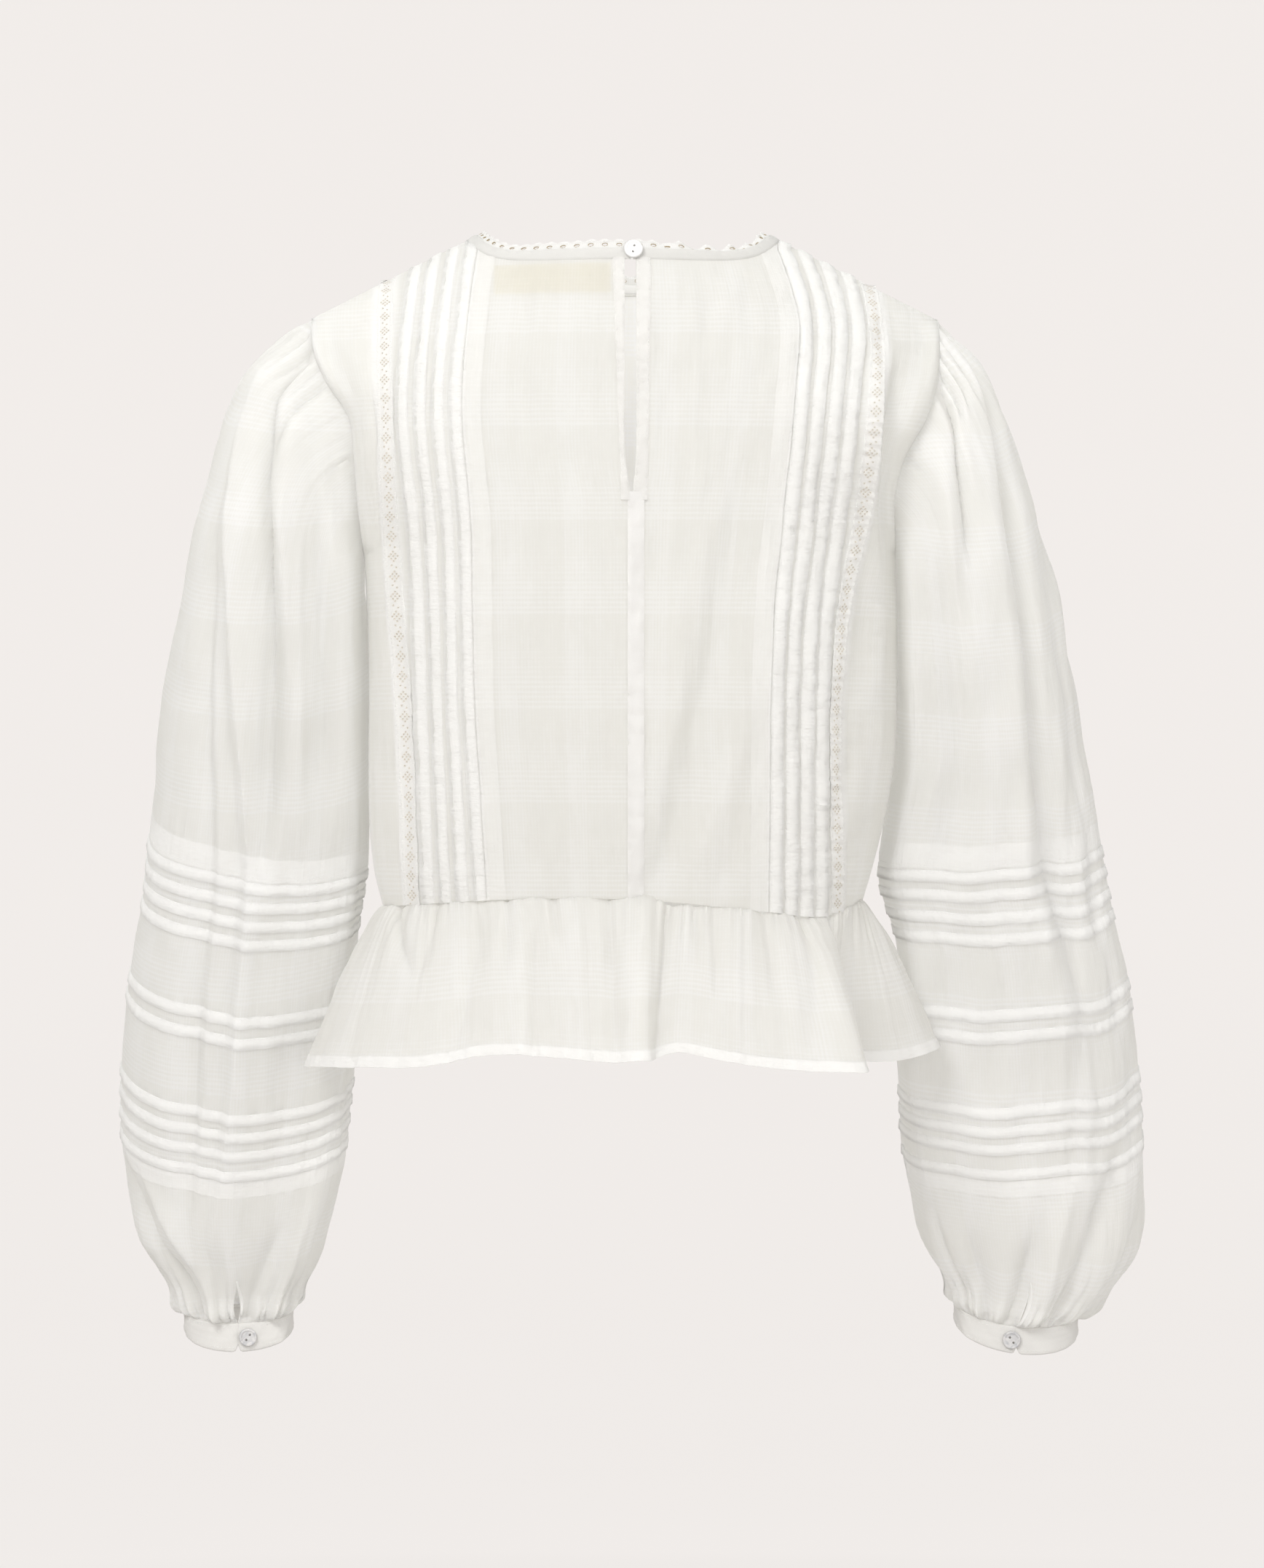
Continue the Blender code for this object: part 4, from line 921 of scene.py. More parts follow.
def sleeve_normal(side, turn, down):
    """Outward unit normals of the sleeve's form."""
    around = sleeve_form(side, turn + 0.6, down) - sleeve_form(side, turn - 0.6, down)
    along = sleeve_form(side, turn, down + 0.0006) - sleeve_form(side, turn, down - 0.0006)
    across = sleeve_form(side, turn, down) - sleeve_form(side, turn + 180, down)
    return outward(unit(np.cross(around, along)), across)


SLEEVE_TUCK_SECTION = table(
    "offset lift layer",
    (-0.0071, 0.0000, 0.10),
    (-0.0067, -0.0001, 0.80),
    (-0.0061, 0.0006, 1.00),
    (-0.0030, 0.0009, 1.00),
    (-0.0004, 0.0011, 1.00),
    (0.0002, 0.0009, 1.00),
    (-0.0003, 0.0006, 0.40),
    (-0.0016, 0.0003, 0.00),
    (0.0006, 0.0000, 0.00),
)
# How much higher the tucks and the check lie round the sleeve than at its rear
DROOP = {
    "left": table(
        "turn down",
        (0, -0.0125),
        (27, -0.0065),
        (54, -0.0028),
        (87, 0.0000),
        (135, -0.0035),
        (160, -0.0070),
        (200, -0.0120),
        (270, -0.0160),
        (330, -0.0145),
        (360, -0.0125),
    ),
    "right": table(
        "turn down",
        (0, -0.0110),
        (20, -0.0085),
        (36, -0.0030),
        (50, -0.0004),
        (66, -0.0024),
        (86, -0.0010),
        (105, 0.0010),
        (128, -0.0012),
        (150, -0.0015),
        (180, -0.0030),
        (270, -0.0080),
        (340, -0.0118),
        (360, -0.0110),
    ),
}
# Long creases of the sleeves, from above downwards; u is degrees round, as are low and high
SLEEVE_CREASES = {
    "left": table(
        "v0 u0 v1 u1 v2 u2 height low high",
        (-0.020, 4, 0.060, 50, 0.150, 76, -0.0080, 14, 4),
        (0.030, 44, 0.110, 73, 0.400, 88, -0.0150, 9, 5),
        (0.120, 72, 0.240, 82, 0.480, 88, -0.0050, 16, 12),
        (0.020, 60, 0.140, 92, 0.360, 97, 0.0040, 6, 9),
        (0.020, 14, 0.180, 60, 0.700, 67, 0.0080, 3, 16),
        (0.060, 24, 0.230, 54, 0.700, 60, -0.0050, 9, 3),
        (0.070, 98, 0.170, 107, 0.400, 116, 0.0044, 8, 4),
        (0.040, 106, 0.150, 122, 0.340, 128, -0.0040, 5, 9),
        (0.020, 11, 0.042, 15, 0.062, 19, -0.0026, 2.4, 1.7),
        (0.020, 23, 0.044, 27, 0.068, 32, -0.0036, 2.6, 1.8),
        (0.020, 34, 0.043, 38, 0.062, 42, -0.0032, 2.2, 1.6),
        (0.022, 44, 0.044, 48, 0.068, 52, -0.0036, 2.4, 1.8),
        (0.022, 54, 0.043, 57, 0.062, 60, -0.0032, 2.2, 1.6),
        (0.026, 62, 0.052, 66, 0.100, 71, -0.0052, 3.0, 2.2),
        (0.555, 4, 0.605, 36, 0.700, 60, -0.0085, 10, 5),
        (0.555, 26, 0.610, 58, 0.700, 74, 0.0050, 4, 9),
        (0.590, 124, 0.635, 110, 0.720, 98, -0.0062, 9, 4),
        (0.580, 142, 0.630, 134, 0.720, 128, 0.0036, 7, 4),
        (0.575, 168, 0.630, 158, 0.720, 150, -0.0050, 7, 5),
        (0.600, 84, 0.650, 80, 0.720, 78, -0.0040, 5, 5),
        (0.020, 262, 0.250, 262, 0.620, 258, 0.0056, 14, 10),
        (0.000, 306, 0.160, 285, 0.420, 284, -0.0085, 8, 12),
        (0.040, 330, 0.200, 318, 0.560, 320, 0.0050, 5, 14),
        (0.060, 215, 0.220, 222, 0.480, 224, -0.0046, 10, 10),
        (0.580, 300, 0.620, 285, 0.700, 276, -0.0066, 7, 7),
        (0.590, 240, 0.630, 250, 0.700, 256, -0.0054, 6, 8),
        (0.585, 206, 0.630, 212, 0.720, 216, -0.0040, 6, 6),
    ),
    "right": table(
        "v0 u0 v1 u1 v2 u2 height low high",
        (-0.020, -34, 0.090, 34, 0.210, 56, -0.0080, 10, 4),
        (0.060, 34, 0.240, 61, 0.520, 47, -0.0110, 14, 4.5),
        (0.080, 60, 0.240, 74, 0.560, 60, 0.0060, 8, 18),
        (0.020, 52, 0.066, 75, 0.170, 88, -0.0090, 8, 3),
        (0.020, 16, 0.044, 21, 0.078, 27, -0.0030, 2.6, 1.8),
        (0.020, 30, 0.044, 35, 0.084, 43, -0.0044, 2.8, 2.0),
        (0.020, 42, 0.044, 47, 0.080, 55, -0.0048, 2.8, 2.0),
        (0.020, 54, 0.044, 58, 0.076, 65, -0.0046, 2.6, 2.0),
        (0.022, 65, 0.044, 69, 0.068, 74, -0.0036, 2.4, 1.8),
        (0.020, 74, 0.090, 94, 0.260, 100, 0.0040, 4, 12),
        (0.060, 106, 0.170, 112, 0.360, 110, -0.0034, 8, 8),
        (0.140, 20, 0.320, 30, 0.560, 26, -0.0034, 6, 10),
        (0.545, 36, 0.615, 62, 0.720, 64, -0.0090, 10, 5),
        (0.550, 60, 0.615, 80, 0.720, 82, 0.0050, 5, 9),
        (0.590, 88, 0.645, 101, 0.720, 110, -0.0070, 8, 3),
        (0.580, 126, 0.640, 124, 0.720, 122, -0.0054, 6, 6),
        (0.575, 152, 0.640, 146, 0.720, 142, -0.0050, 7, 6),
        (0.590, 18, 0.640, 30, 0.720, 36, -0.0046, 6, 6),
        (0.020, 268, 0.250, 284, 0.620, 290, 0.0056, 10, 14),
        (0.000, 300, 0.180, 316, 0.440, 318, -0.0085, 11, 7),
        (0.040, 240, 0.220, 246, 0.560, 244, -0.0054, 12, 8),
        (0.080, 212, 0.240, 220, 0.500, 222, 0.0036, 9, 9),
        (0.580, 250, 0.620, 262, 0.700, 270, -0.0066, 7, 7),
        (0.590, 320, 0.630, 306, 0.700, 298, -0.0056, 6, 6),
        (0.585, 206, 0.630, 214, 0.720, 220, -0.0040, 6, 6),
    ),
}
# The cloth's fullness between the sleeve and the body, on the far side
SLEEVE_BESIDE = table(
    "v0 u0 v1 u1 v2 u2 height low high",
    (-0.030, 200, 0.080, 203, 0.260, 206, 0.0036, 14, 22),
    (0.100, 203, 0.250, 206, 0.420, 208, 0.0085, 12, 20),
)


SLIT_GAPE = {"left": 0.0036, "right": 0.0009}


def slit_half_turn(side, down):
    """Half the slit's width in degrees: a leaf that closes at the cuff, and a hair's width above that."""
    bottom, radius = wrist(side)
    share = np.clip((down - bottom + SLEEVE_SLIT) / SLEEVE_SLIT, 0, 1)
    leaf = np.maximum(np.sin(math.pi * np.minimum(share**1.5, 0.94)), 0.01)
    return np.degrees(SLIT_GAPE[side] / 2 * leaf / radius)


def droop(side, turn, down):
    """How far the tucked part of the sleeve hangs below its level place."""
    tucks = SLEEVE_TUCKS[side]
    weight = smooth((down - tucks[0] + 0.07) / 0.045) * smooth((tucks[-1] + 0.06 - down) / 0.045)
    return read(DROOP[side], "down", np.asarray(turn) % 360, "turn") * weight


def sleeve_lift(side, turn, down):
    """How the sleeve's gathers, creases and uneven lie move its cloth."""
    top, bottom = SLEEVE[side]["down"][[0, -1]]
    round_it = (turn + 180) % 360 - 180
    form = sleeve_form(side, turn, down)
    lift = creases(SLEEVE_CREASES[side], turn % 360, down, turning=True, crisp=1.6)
    high = smooth((138 - np.abs(round_it)) / 60)
    cap = np.exp(-np.maximum(down - top, 0) / 0.020) + 0.35 * np.exp(-np.maximum(down - top, 0) / 0.060)
    lift = lift + 0.0022 * high * cap * smooth((down - top + 0.0004) / 0.006) * gathers(round_it, 9.5, 31)
    seam = smooth((120 - np.abs(round_it - 10)) / 30) * np.exp(-np.maximum(down - top, 0) / 0.013)
    lift = lift + 0.0012 * seam * smooth((down - top + 0.0004) / 0.003) * gathers(round_it, 6.2, 33)
    near = np.maximum(bottom - down, 0)
    clear = smooth((176 - np.abs(round_it)) / 10)
    cuff = 1.2 * np.exp(-((near / 0.022) ** 2)) + 0.5 * np.exp(-((near / 0.055) ** 2))
    lift = lift + 0.0024 * clear * cuff * gathers(round_it, 13.0, 37)
    lift = lift + 0.0026 * clear * np.exp(-((near / 0.013) ** 2)) * gathers(round_it, 7.4, 39)
    puff = 0.0030 * np.exp(-(((near - 0.0075) / 0.006) ** 2))
    lift = lift + puff * (1 + 0.4 * np.sin(np.radians(round_it) * 6))
    slant, level = form[..., 0] + 0.7 * form[..., 1], form[..., 2]
    for height, *shape in SLEEVE_UNEVEN:
        lift = lift + height * ripple(slant, level, *shape)
    beside = smooth((np.abs(round_it) - 120) / 35) * smooth((0.34 - down) / 0.06)
    lift = lift * (1 - 0.85 * beside) * smooth((down - top + 0.001) / 0.004)
    lift = lift + creases(SLEEVE_BESIDE, turn % 360, down, turning=True)
    return lift * smooth((bottom - down + 0.0012) / 0.005)


# Below the last fold: how far, and how doubled
LAST_UNDERLAY = ((0.0012, 0.7), (0.0060, 0.7), (0.0118, 0.7), (0.0124, 0))


def sleeve_stations(side):
    """The sleeve's rows from the armhole to the cuff: how far down, height off the form, and doubling."""
    tucks, (top, bottom) = SLEEVE_TUCKS[side], SLEEVE[side]["down"][[0, -1]]
    first, last = tucks[0], tucks[-1]
    rows = [(d, 0.0, 0.0) for d in top + 0.030 * np.linspace(0, 1, 15) ** 1.2]
    rows += [(d, 0.0, 0.0) for d in np.linspace(top + 0.034, first - 0.0232, 58)]
    rows += [(first + d, 0.0, layer) for d, layer in ((-0.0224, 0.8), (-0.017, 0.85), (-0.012, 0.85))]
    rows += [(first - 0.0101, -0.0001, 0.85), (first - 0.0085, 0.0, 0.85)]
    for k, fold in enumerate(tucks):
        rows += [(fold + d, lift, layer) for d, lift, layer in rows_of(SLEEVE_TUCK_SECTION)]
        after = tucks[k + 1] - 0.0071 if fold != last else bottom
        gap = after - fold - 0.0006
        if fold == last:
            rows += [(fold + d, 0.0, layer) for d, layer in LAST_UNDERLAY]
            rows += [(d, 0.0, 0.0) for d in np.linspace(fold + 0.0145, bottom - 0.022, 26)]
            rows += [(d, 0.0, 0.0) for d in np.linspace(bottom - 0.0205, bottom, 13)]
        else:
            count = max(1, round(gap / 0.0045))
            shares = (np.arange(count) + 1) / (count + 1)
            rows += [(fold + 0.0006 + gap * share, 0.0, 0.0) for share in shares]
    return [np.array(column) for column in zip(*rows)]


def sleeve(side, material):
    """The whole sleeve as one shell, open along its slit."""
    down, lift, layer = sleeve_stations(side)
    # Degrees on from the slit; two columns close together hold the jump where the cloth's width starts again
    away = [np.linspace(0, 86.95, 45), np.linspace(87.05, 252, 34)[:-1], np.linspace(252, 360, 76)]
    away = np.concatenate(away)
    half = slit_half_turn(side, down)[:, None]
    turn = SLIT_TURN + half + away * (360 - 2 * half) / 360
    down = down[:, None] + droop(side, turn, down[:, None])
    n = sleeve_normal(side, turn, down)
    layer = np.broadcast_to(layer[:, None], turn.shape)
    a = np.radians(turn)
    pucker = ripple(57 * np.sin(a), down + 0.05 * np.cos(a), 4.0, 0.012, 47 if side == "left" else 48)
    pucker = 0.00022 * layer * pucker
    total = lift[:, None] + sleeve_lift(side, turn, down) + pucker
    outer = sleeve_form(side, turn, down) + n * total[..., None]
    inside = np.array((-sign_of(side) * 0.003, 0, 0))
    outer = np.concatenate([outer[:1] + inside, outer, outer[-1:] - n[-1:] * 0.0018 - (0, 0, 0.0015)])
    turn, layer, n, flat = (ends_twice(a) for a in (turn, layer, n, down))
    inner = outer - grid_normals(outer, n, wrap=True) * CLOTH
    top = wrist(side)[0] - SLEEVE_SLIT
    rows, columns = turn.shape
    keep = np.ones((rows - 1, columns), bool)
    keep[flat[:-1, 0] > top, -1] = False
    form = sleeve_form(side, turn, flat)
    dip = read(SLEEVE[side], "dip", flat, "down") * np.maximum(np.sin(np.radians(turn)), 0)
    level = -form[..., 2] - dip - 0.9 * read(DROOP[side], "down", turn % 360, "turn")
    cloth = np.stack([(turn + 180) % 360 / 360 * SLEEVE_ROUND, level, layer], -1)
    shell("sleeve_" + side, outer, inner, grid_faces(rows, columns, True, keep), material, cloth)


def cuff_place(side, turn, share):
    """Points on the cuff's face, share 0 at its seam and 1 at its lower edge, and the way they face."""
    bottom = wrist(side)[0]
    rear = np.maximum(np.sin(np.radians(turn)), 0)
    height = CUFF_SIDE_HEIGHT + (CUFF_REAR_HEIGHT[side] - CUFF_SIDE_HEIGHT) * rear
    point = sleeve_form(side, turn, bottom) - np.stack([0 * turn, 0 * turn, share * height], -1)
    way = sleeve_normal(side, turn, bottom - 0.0006) * (1, 1, 0)
    return point, unit(way)


def cuff(side, material):
    """The narrow band round the wrist, with rounded corners where it closes."""
    radius = wrist(side)[1]
    gap = math.degrees(0.25 * CUFF_NOTCH / radius) / 2
    turn = np.linspace(SLIT_TURN + gap, SLIT_TURN + 360 - gap, 150)[None]
    share = np.concatenate([[0, 0.03], np.linspace(0.08, 0.92, 12), [0.97, 1]])[:, None]
    end = np.radians(np.minimum(turn - turn[0, 0], turn[0, -1] - turn)) * radius
    corner = 1 - 0.22 * (1 - np.sqrt(1 - (1 - np.clip(end / 0.0035, 0, 1)) ** 2))
    at = share * corner + 0 * turn
    point, way = cuff_place(side, turn + 0 * share, at)
    rounded = np.sqrt(np.clip(1 - np.abs(2 * share - 1) ** 7, 0, 1)) * np.sqrt(np.clip(end / 0.0008, 0.15, 1))
    ditch = -0.00022 * sum(np.exp(-(((share - row) / 0.035) ** 2)) for row in CUFF_STITCH_SHARES)
    wave = 0.00030 * ripple(turn, share, 22, 0.9, 53) + 0.00025 * gathers(turn, 11.0, 54) * (1 - share) ** 2
    outer = point + way * (0.0002 + 0.0009 * rounded + ditch + wave)[..., None]
    inner = point + way * (-0.0004 - 0.0009 * rounded + wave)[..., None]
    cloth = np.stack([turn / 360 * 0.22 + 0 * share, at * 0.02, 1 + 0 * at], -1)
    shell("cuff_" + side, outer, inner, grid_faces(*at.shape), material, cloth)


def placket(side, material):
    """The binding along the slit's edge."""
    bottom, radius = wrist(side)
    down = np.linspace(bottom - SLEEVE_SLIT + 0.0002, bottom - 0.0004, 30)[:, None]
    share = np.linspace(0, 1, 6)[None]
    leaf = np.sin(math.pi * (down - bottom + SLEEVE_SLIT) / SLEEVE_SLIT) ** 0.7
    width = PLACKET_WIDTH * (0.12 + 0.5 * leaf)
    past = slit_half_turn(side, down) - 0.4 + share * np.degrees(width / radius)
    turn = SLIT_TURN - sign_of(side) * past
    down = down + 0 * turn
    n = sleeve_normal(side, turn, down)
    rise = 0.0002 + 0.0006 * np.sqrt(np.clip(1 - np.abs(2 * share - 1) ** 3, 0, 1)) + 0 * down
    outer = sleeve_form(side, turn, down) + n * (sleeve_lift(side, turn, down) + rise)[..., None]
    cloth = np.stack([turn / 360 * SLEEVE_ROUND, down, 1 + 0 * turn], -1)
    shell("placket_" + side, outer, outer - n * 0.0007, grid_faces(*turn.shape), material, cloth)


# ---- Peplum ----------------------------------------------------------------------------------------------

PEPLUM_CREASES = table(
    "v0 u0 v1 u1 v2 u2 height low high",
    (-0.20, -71, 0.15, -64, 0.50, -54, -0.0046, 1.8, 2.6),
    (-0.30, -50, 0.20, -52, 0.60, -56, -0.0034, 2.0, 2.0),
    (-0.30, -34, 0.40, -40, 1.20, -47, -0.0052, 2.4, 4.0),
    (-0.30, -29, 0.15, -30, 0.50, -31, -0.0030, 1.4, 1.4),
    (0.00, -22, 0.60, -25, 1.30, -27, -0.0046, 1.6, 3.2),
    (-0.30, -18, 0.10, -18, 0.40, -17, -0.0032, 1.3, 1.3),
    (-0.30, -7, 0.40, -5, 1.20, -4, -0.0040, 1.8, 3.0),
    (-0.40, 4, 0.40, 2, 1.40, 0, 0.0036, 4.0, 4.0),
    (-0.40, 11, 0.40, 9, 1.40, 7, -0.0066, 2.4, 4.5),
    (-0.30, 15, 0.15, 17, 0.50, 18, -0.0034, 1.3, 2.0),
    (-0.20, 20, 0.25, 21, 0.70, 22, -0.0034, 1.3, 2.0),
    (-0.30, 33, 0.20, 35, 0.65, 36, -0.0036, 1.6, 1.8),
    (-0.30, 48, 0.30, 45, 0.90, 42, -0.0044, 2.0, 2.0),
    (-0.30, 58, 0.20, 60, 0.60, 62, -0.0030, 1.8, 1.8),
    (-0.30, 104, 0.30, 108, 1.20, 112, -0.0048, 2.6, 3.5),
    (-0.30, 121, 0.20, 122, 0.60, 123, -0.0032, 1.8, 1.8),
    (-0.30, 133, 0.40, 136, 1.30, 138, -0.0052, 2.6, 4.0),
    (-0.30, 147, 0.20, 146, 0.60, 145, -0.0030, 1.6, 1.8),
    (-0.30, 158, 0.50, 160, 1.30, 162, 0.0036, 4.0, 4.0),
    (-0.30, 168, 0.40, 170, 1.30, 171, -0.0056, 3.5, 2.4),
    (-0.30, 181, 0.20, 182, 0.60, 182, -0.0032, 1.6, 1.8),
    (-0.30, 194, 0.40, 191, 1.30, 189, -0.0052, 2.6, 4.0),
    (-0.30, 208, 0.20, 206, 0.70, 205, -0.0034, 1.8, 2.0),
    (-0.30, 221, 0.40, 219, 1.30, 216, -0.0048, 2.6, 3.5),
    (-0.30, 237, 0.25, 235, 0.75, 233, -0.0034, 2.0, 2.2),
    (-0.30, 251, 0.40, 248, 1.20, 246, -0.0042, 2.4, 3.0),
)


def peplum_form(turn, share):
    """The peplum before its gathers; share is 0 at the waist seam and 1 at the hem."""
    a = np.radians(turn)
    signed = (turn + 180) % 360 - 180
    waist_x = np.sin(a) * edge_x(signed > 0, np.full(np.shape(turn), WAIST_Z))
    top = round_the_body(a, waist_x, waist_z)
    radius, z = read(HEM, "radius", signed, "turn"), read(HEM, "z", signed, "turn")
    hem = np.stack([radius * np.sin(a), -radius * np.cos(a), z], -1)
    level = share[..., None]
    out = top + (hem - top) * level**PEPLUM_FLARE
    return np.concatenate([out[..., :2], (top + (hem - top) * level)[..., 2:]], -1)


def peplum_lift(turn, share):
    """How the peplum's gathers and folds move its cloth."""
    signed = turn % 360
    lift = creases(PEPLUM_CREASES, turn, share, turning=True, crisp=1.5)
    fine = np.exp(-share / 0.20) + 0.45 * np.exp(-share / 0.60)
    uneven = 0.7 + 0.3 * np.sin(np.radians(signed) * 5 + 1)
    lift = lift + 0.0024 * fine * uneven * smooth((share + 0.012) / 0.03) * gathers(signed, 3.6, 61)
    lift = lift + 0.0012 * np.exp(-share / 0.10) * gathers(signed, 1.7, 62)
    lift = lift + 0.0009 * smooth(share / 0.3) * gathers(signed, 6.5, 64)
    a = np.radians(turn)
    return lift + 0.0005 * ripple(0.15 * np.sin(a), 0.15 * np.cos(a) + 0.1 * share, 0.045, 0.045, 63)


def peplum(name, start, end, columns, material):
    """One piece of the peplum, between two turns, with its hem folded up."""
    at_waist, at_hem = (0, 0.010, 0.022, 0.04, 0.06, 0.085), (0.932, 0.940, 0.955, 0.975, 0.99, 1.0)
    share = np.concatenate([at_waist, np.linspace(0.11, 0.925, 24), at_hem])[:, None]
    turn = np.linspace(start, end, columns)[None] + 0 * share
    share = share + 0 * turn
    hem = smooth((share - 0.928) / 0.006)
    point = peplum_form(turn, share)
    around = peplum_form(turn + 0.5, share) - peplum_form(turn - 0.5, share)
    along = peplum_form(turn, share + 0.01) - peplum_form(turn, np.maximum(share - 0.01, 0))
    n = unit(np.cross(around, along))
    n = outward(n, point * (1, 1, 0))
    pucker = 0.00030 * hem * ripple(turn, share, 3.5, 0.2, 67)
    lift = peplum_lift(turn, share) + 0.0004 * hem + pucker
    outer = point + n * lift[..., None]
    tucked = outer[:1] - n[:1] * 0.0012 + (0, 0, 0.0022)
    outer = np.concatenate([tucked, outer])
    n, share, turn, hem = (np.concatenate([a[:1], a]) for a in (n, share, turn, hem))
    thick = CLOTH + 0.0005 * hem
    inner = outer - grid_normals(outer, n) * thick[..., None]
    cloth = np.stack([turn / 360 * PEPLUM_ROUND, share * PEPLUM_LONG, hem], -1)
    shell(name, outer, inner, grid_faces(*turn.shape), material, cloth)


# ---- Buttons and stitches ----------------------------------------------------------------------------------

BUTTON_RADIUS = 0.0057
BUTTON_THICK = 0.0022
BUTTON_RIM = 0.0014
HOLE_RADIUS = 0.00075
HOLE_STEP = 0.0040
BUTTON_DISH = 0.00055  # how deep its middle is
BUTTON_CELL = 0.00024


def button(name, centre, way, tilt, material):
    """A round two-hole button: a rounded rim, a shallow dish, and holes right through."""
    span = 2 * BUTTON_RADIUS + 0.0008

    def field(u, v):
        x, y = u - span / 2, v - span / 2
        holes = [(0, end * HOLE_STEP / 2, HOLE_RADIUS, 1) for end in (-1, 1)]
        return np.minimum(nearest_hole(x, y, holes), BUTTON_RADIUS - np.hypot(x, y))

    u, v, faces = openwork(span, span, BUTTON_CELL, field)
    x, y = u - span / 2, v - span / 2
    r = np.minimum(np.hypot(x, y), BUTTON_RADIUS)
    rim = smooth((r - BUTTON_RADIUS + BUTTON_RIM + 0.0006) / 0.0008)
    edge = 1 - np.sqrt(np.clip(1 - np.clip((r - BUTTON_RADIUS + 0.0007) / 0.0007, 0, 1) ** 2, 0, 1))
    top = BUTTON_THICK - BUTTON_DISH * (1 - rim) - 0.0008 * edge
    bottom = 0.0006 * edge
    forward = Vector(way).normalized()
    up = (Vector((0, 0, 1)) - forward * forward.z).normalized()
    across = up.cross(forward)
    c, s = math.cos(math.radians(tilt)), math.sin(math.radians(tilt))
    across, up = across * c + up * s, up * c - across * s
    place = lambda height: np.array(centre) + sum(
        np.multiply.outer(a, np.array(b)) for a, b in ((x, across), (y, up), (height, forward))
    )
    shell(name, place(top), place(bottom), faces, material, sharp=50)


def button_places():
    """Each button's name, the middle of its back, the way it faces and its tilt."""
    point, rise, _ = neck_frame(np.array((3.9, 4.0, 4.1)))
    point, rise = point[1], rise[1]
    way = unit(np.cross((1.0, 0, 0), rise))
    places = [("neck_button", point + rise * BUTTON_RISE + way * (NECKBAND_PROUD + 0.0005), way, -13.0)]
    for side in SIDES:
        turn = np.array([BUTTON_TURN[side]])
        point, way = (a[0] for a in cuff_place(side, turn, np.array([0.5])))
        places.append(("cuff_button_" + side, point + way * 0.0015, way, 35.0 * sign_of(side)))
    return places


STITCH_LENGTH = 0.0017
STITCH_PITCH = 0.0026
STITCH_WIDE = 0.00022  # half its width, and its height


def stitch_parts(points, ways):
    """Small raised stitches along a route: their corners and triangles."""
    run = run_of(points)
    at = np.arange(STITCH_PITCH / 2, run[-1], STITCH_PITCH)
    p, n = along_route(at, run, points), unit(along_route(at, run, ways))
    t = unit(along_route(at + 1e-4, run, points) - along_route(at - 1e-4, run, points))
    s = np.cross(t, n)
    sunk = n * -0.0001
    ends = [p - t * STITCH_LENGTH / 2 + sunk, p + t * STITCH_LENGTH / 2 + sunk]
    waist = [p + s * STITCH_WIDE, p + n * STITCH_WIDE, p - s * STITCH_WIDE, p - n * STITCH_WIDE]
    faces = [(0, 2, 3), (0, 3, 4), (0, 4, 5), (0, 5, 2), (1, 3, 2), (1, 4, 3), (1, 5, 4), (1, 2, 5)]
    faces = np.array(faces)[None] + 6 * np.arange(len(at))[:, None, None]
    return np.stack(ends + waist, 1).reshape(-1, 3), faces.reshape(-1, 3)


def stitches(name, routes, material):
    """One joined mesh of all the stitches along several routes."""
    corners, faces, count = [], [], 0
    for points, ways in routes:
        more, cells = stitch_parts(points, ways)
        corners.append(more)
        faces.append(cells + count)
        count += len(more)
    link(name, np.concatenate(corners), np.concatenate(faces).tolist(), material, 5)


def back_route(line, lift, low=None):
    """A route on the back along a line, a little off the form."""
    low = waist_z("back", line(WAIST_Z)) + 0.001 if low is None else low
    high = column_top("back", line) - 0.001
    z = low + np.linspace(0, 1, 300) * (high - low)
    return on_back(line(z) + 0 * z, z, lift)


def ring_route(side, down, lift):
    """A route once round the sleeve."""
    turn = np.linspace(0, 360, 260)
    at = down + droop(side, turn, np.full(turn.shape, down))
    n = sleeve_normal(side, turn, at)
    return sleeve_form(side, turn, at) + n * (sleeve_lift(side, turn, at) + lift)[:, None], n


def back_stitch_routes(side):
    """Rows along the tucks, beside the lace and round the slit."""
    sign = sign_of(side)
    line = lambda index, offset: (lambda z: tuck_x(side, index, z) + sign * offset)
    routes = [back_route(line(index, -0.0070), 0.0004) for index in range(TUCK_COUNT)]
    beside = lambda end: (lambda z: lace_x(side, z, end) - sign * end * 0.0004)
    routes += [back_route(beside(end), 0.0006) for end in (-1, 1)]
    inner = lambda z: slit_x(side, z) + sign * 0.0010
    edges = (facing_edge(side, 0.0010), inner)
    return routes + [back_route(edge, FACING_RISE + 0.0001, SLIT_TIP_Z + 0.004) for edge in edges]


def sleeve_stitch_routes(side):
    """Rows on each tuck, one above them all, and two round the cuff."""
    tucks = SLEEVE_TUCKS[side]
    routes = [ring_route(side, fold - 0.0063, 0.0005) for fold in tucks]
    routes.append(ring_route(side, tucks[0] - 0.0101, 0.0001))
    turn = np.linspace(SLIT_TURN + 3, SLIT_TURN + 357, 200)
    for share in CUFF_STITCH_SHARES:
        point, way = cuff_place(side, turn, np.full(turn.shape, share))
        routes.append((point + way * 0.0010, way))
    return routes


# ---- Materials -----------------------------------------------------------------------------------------


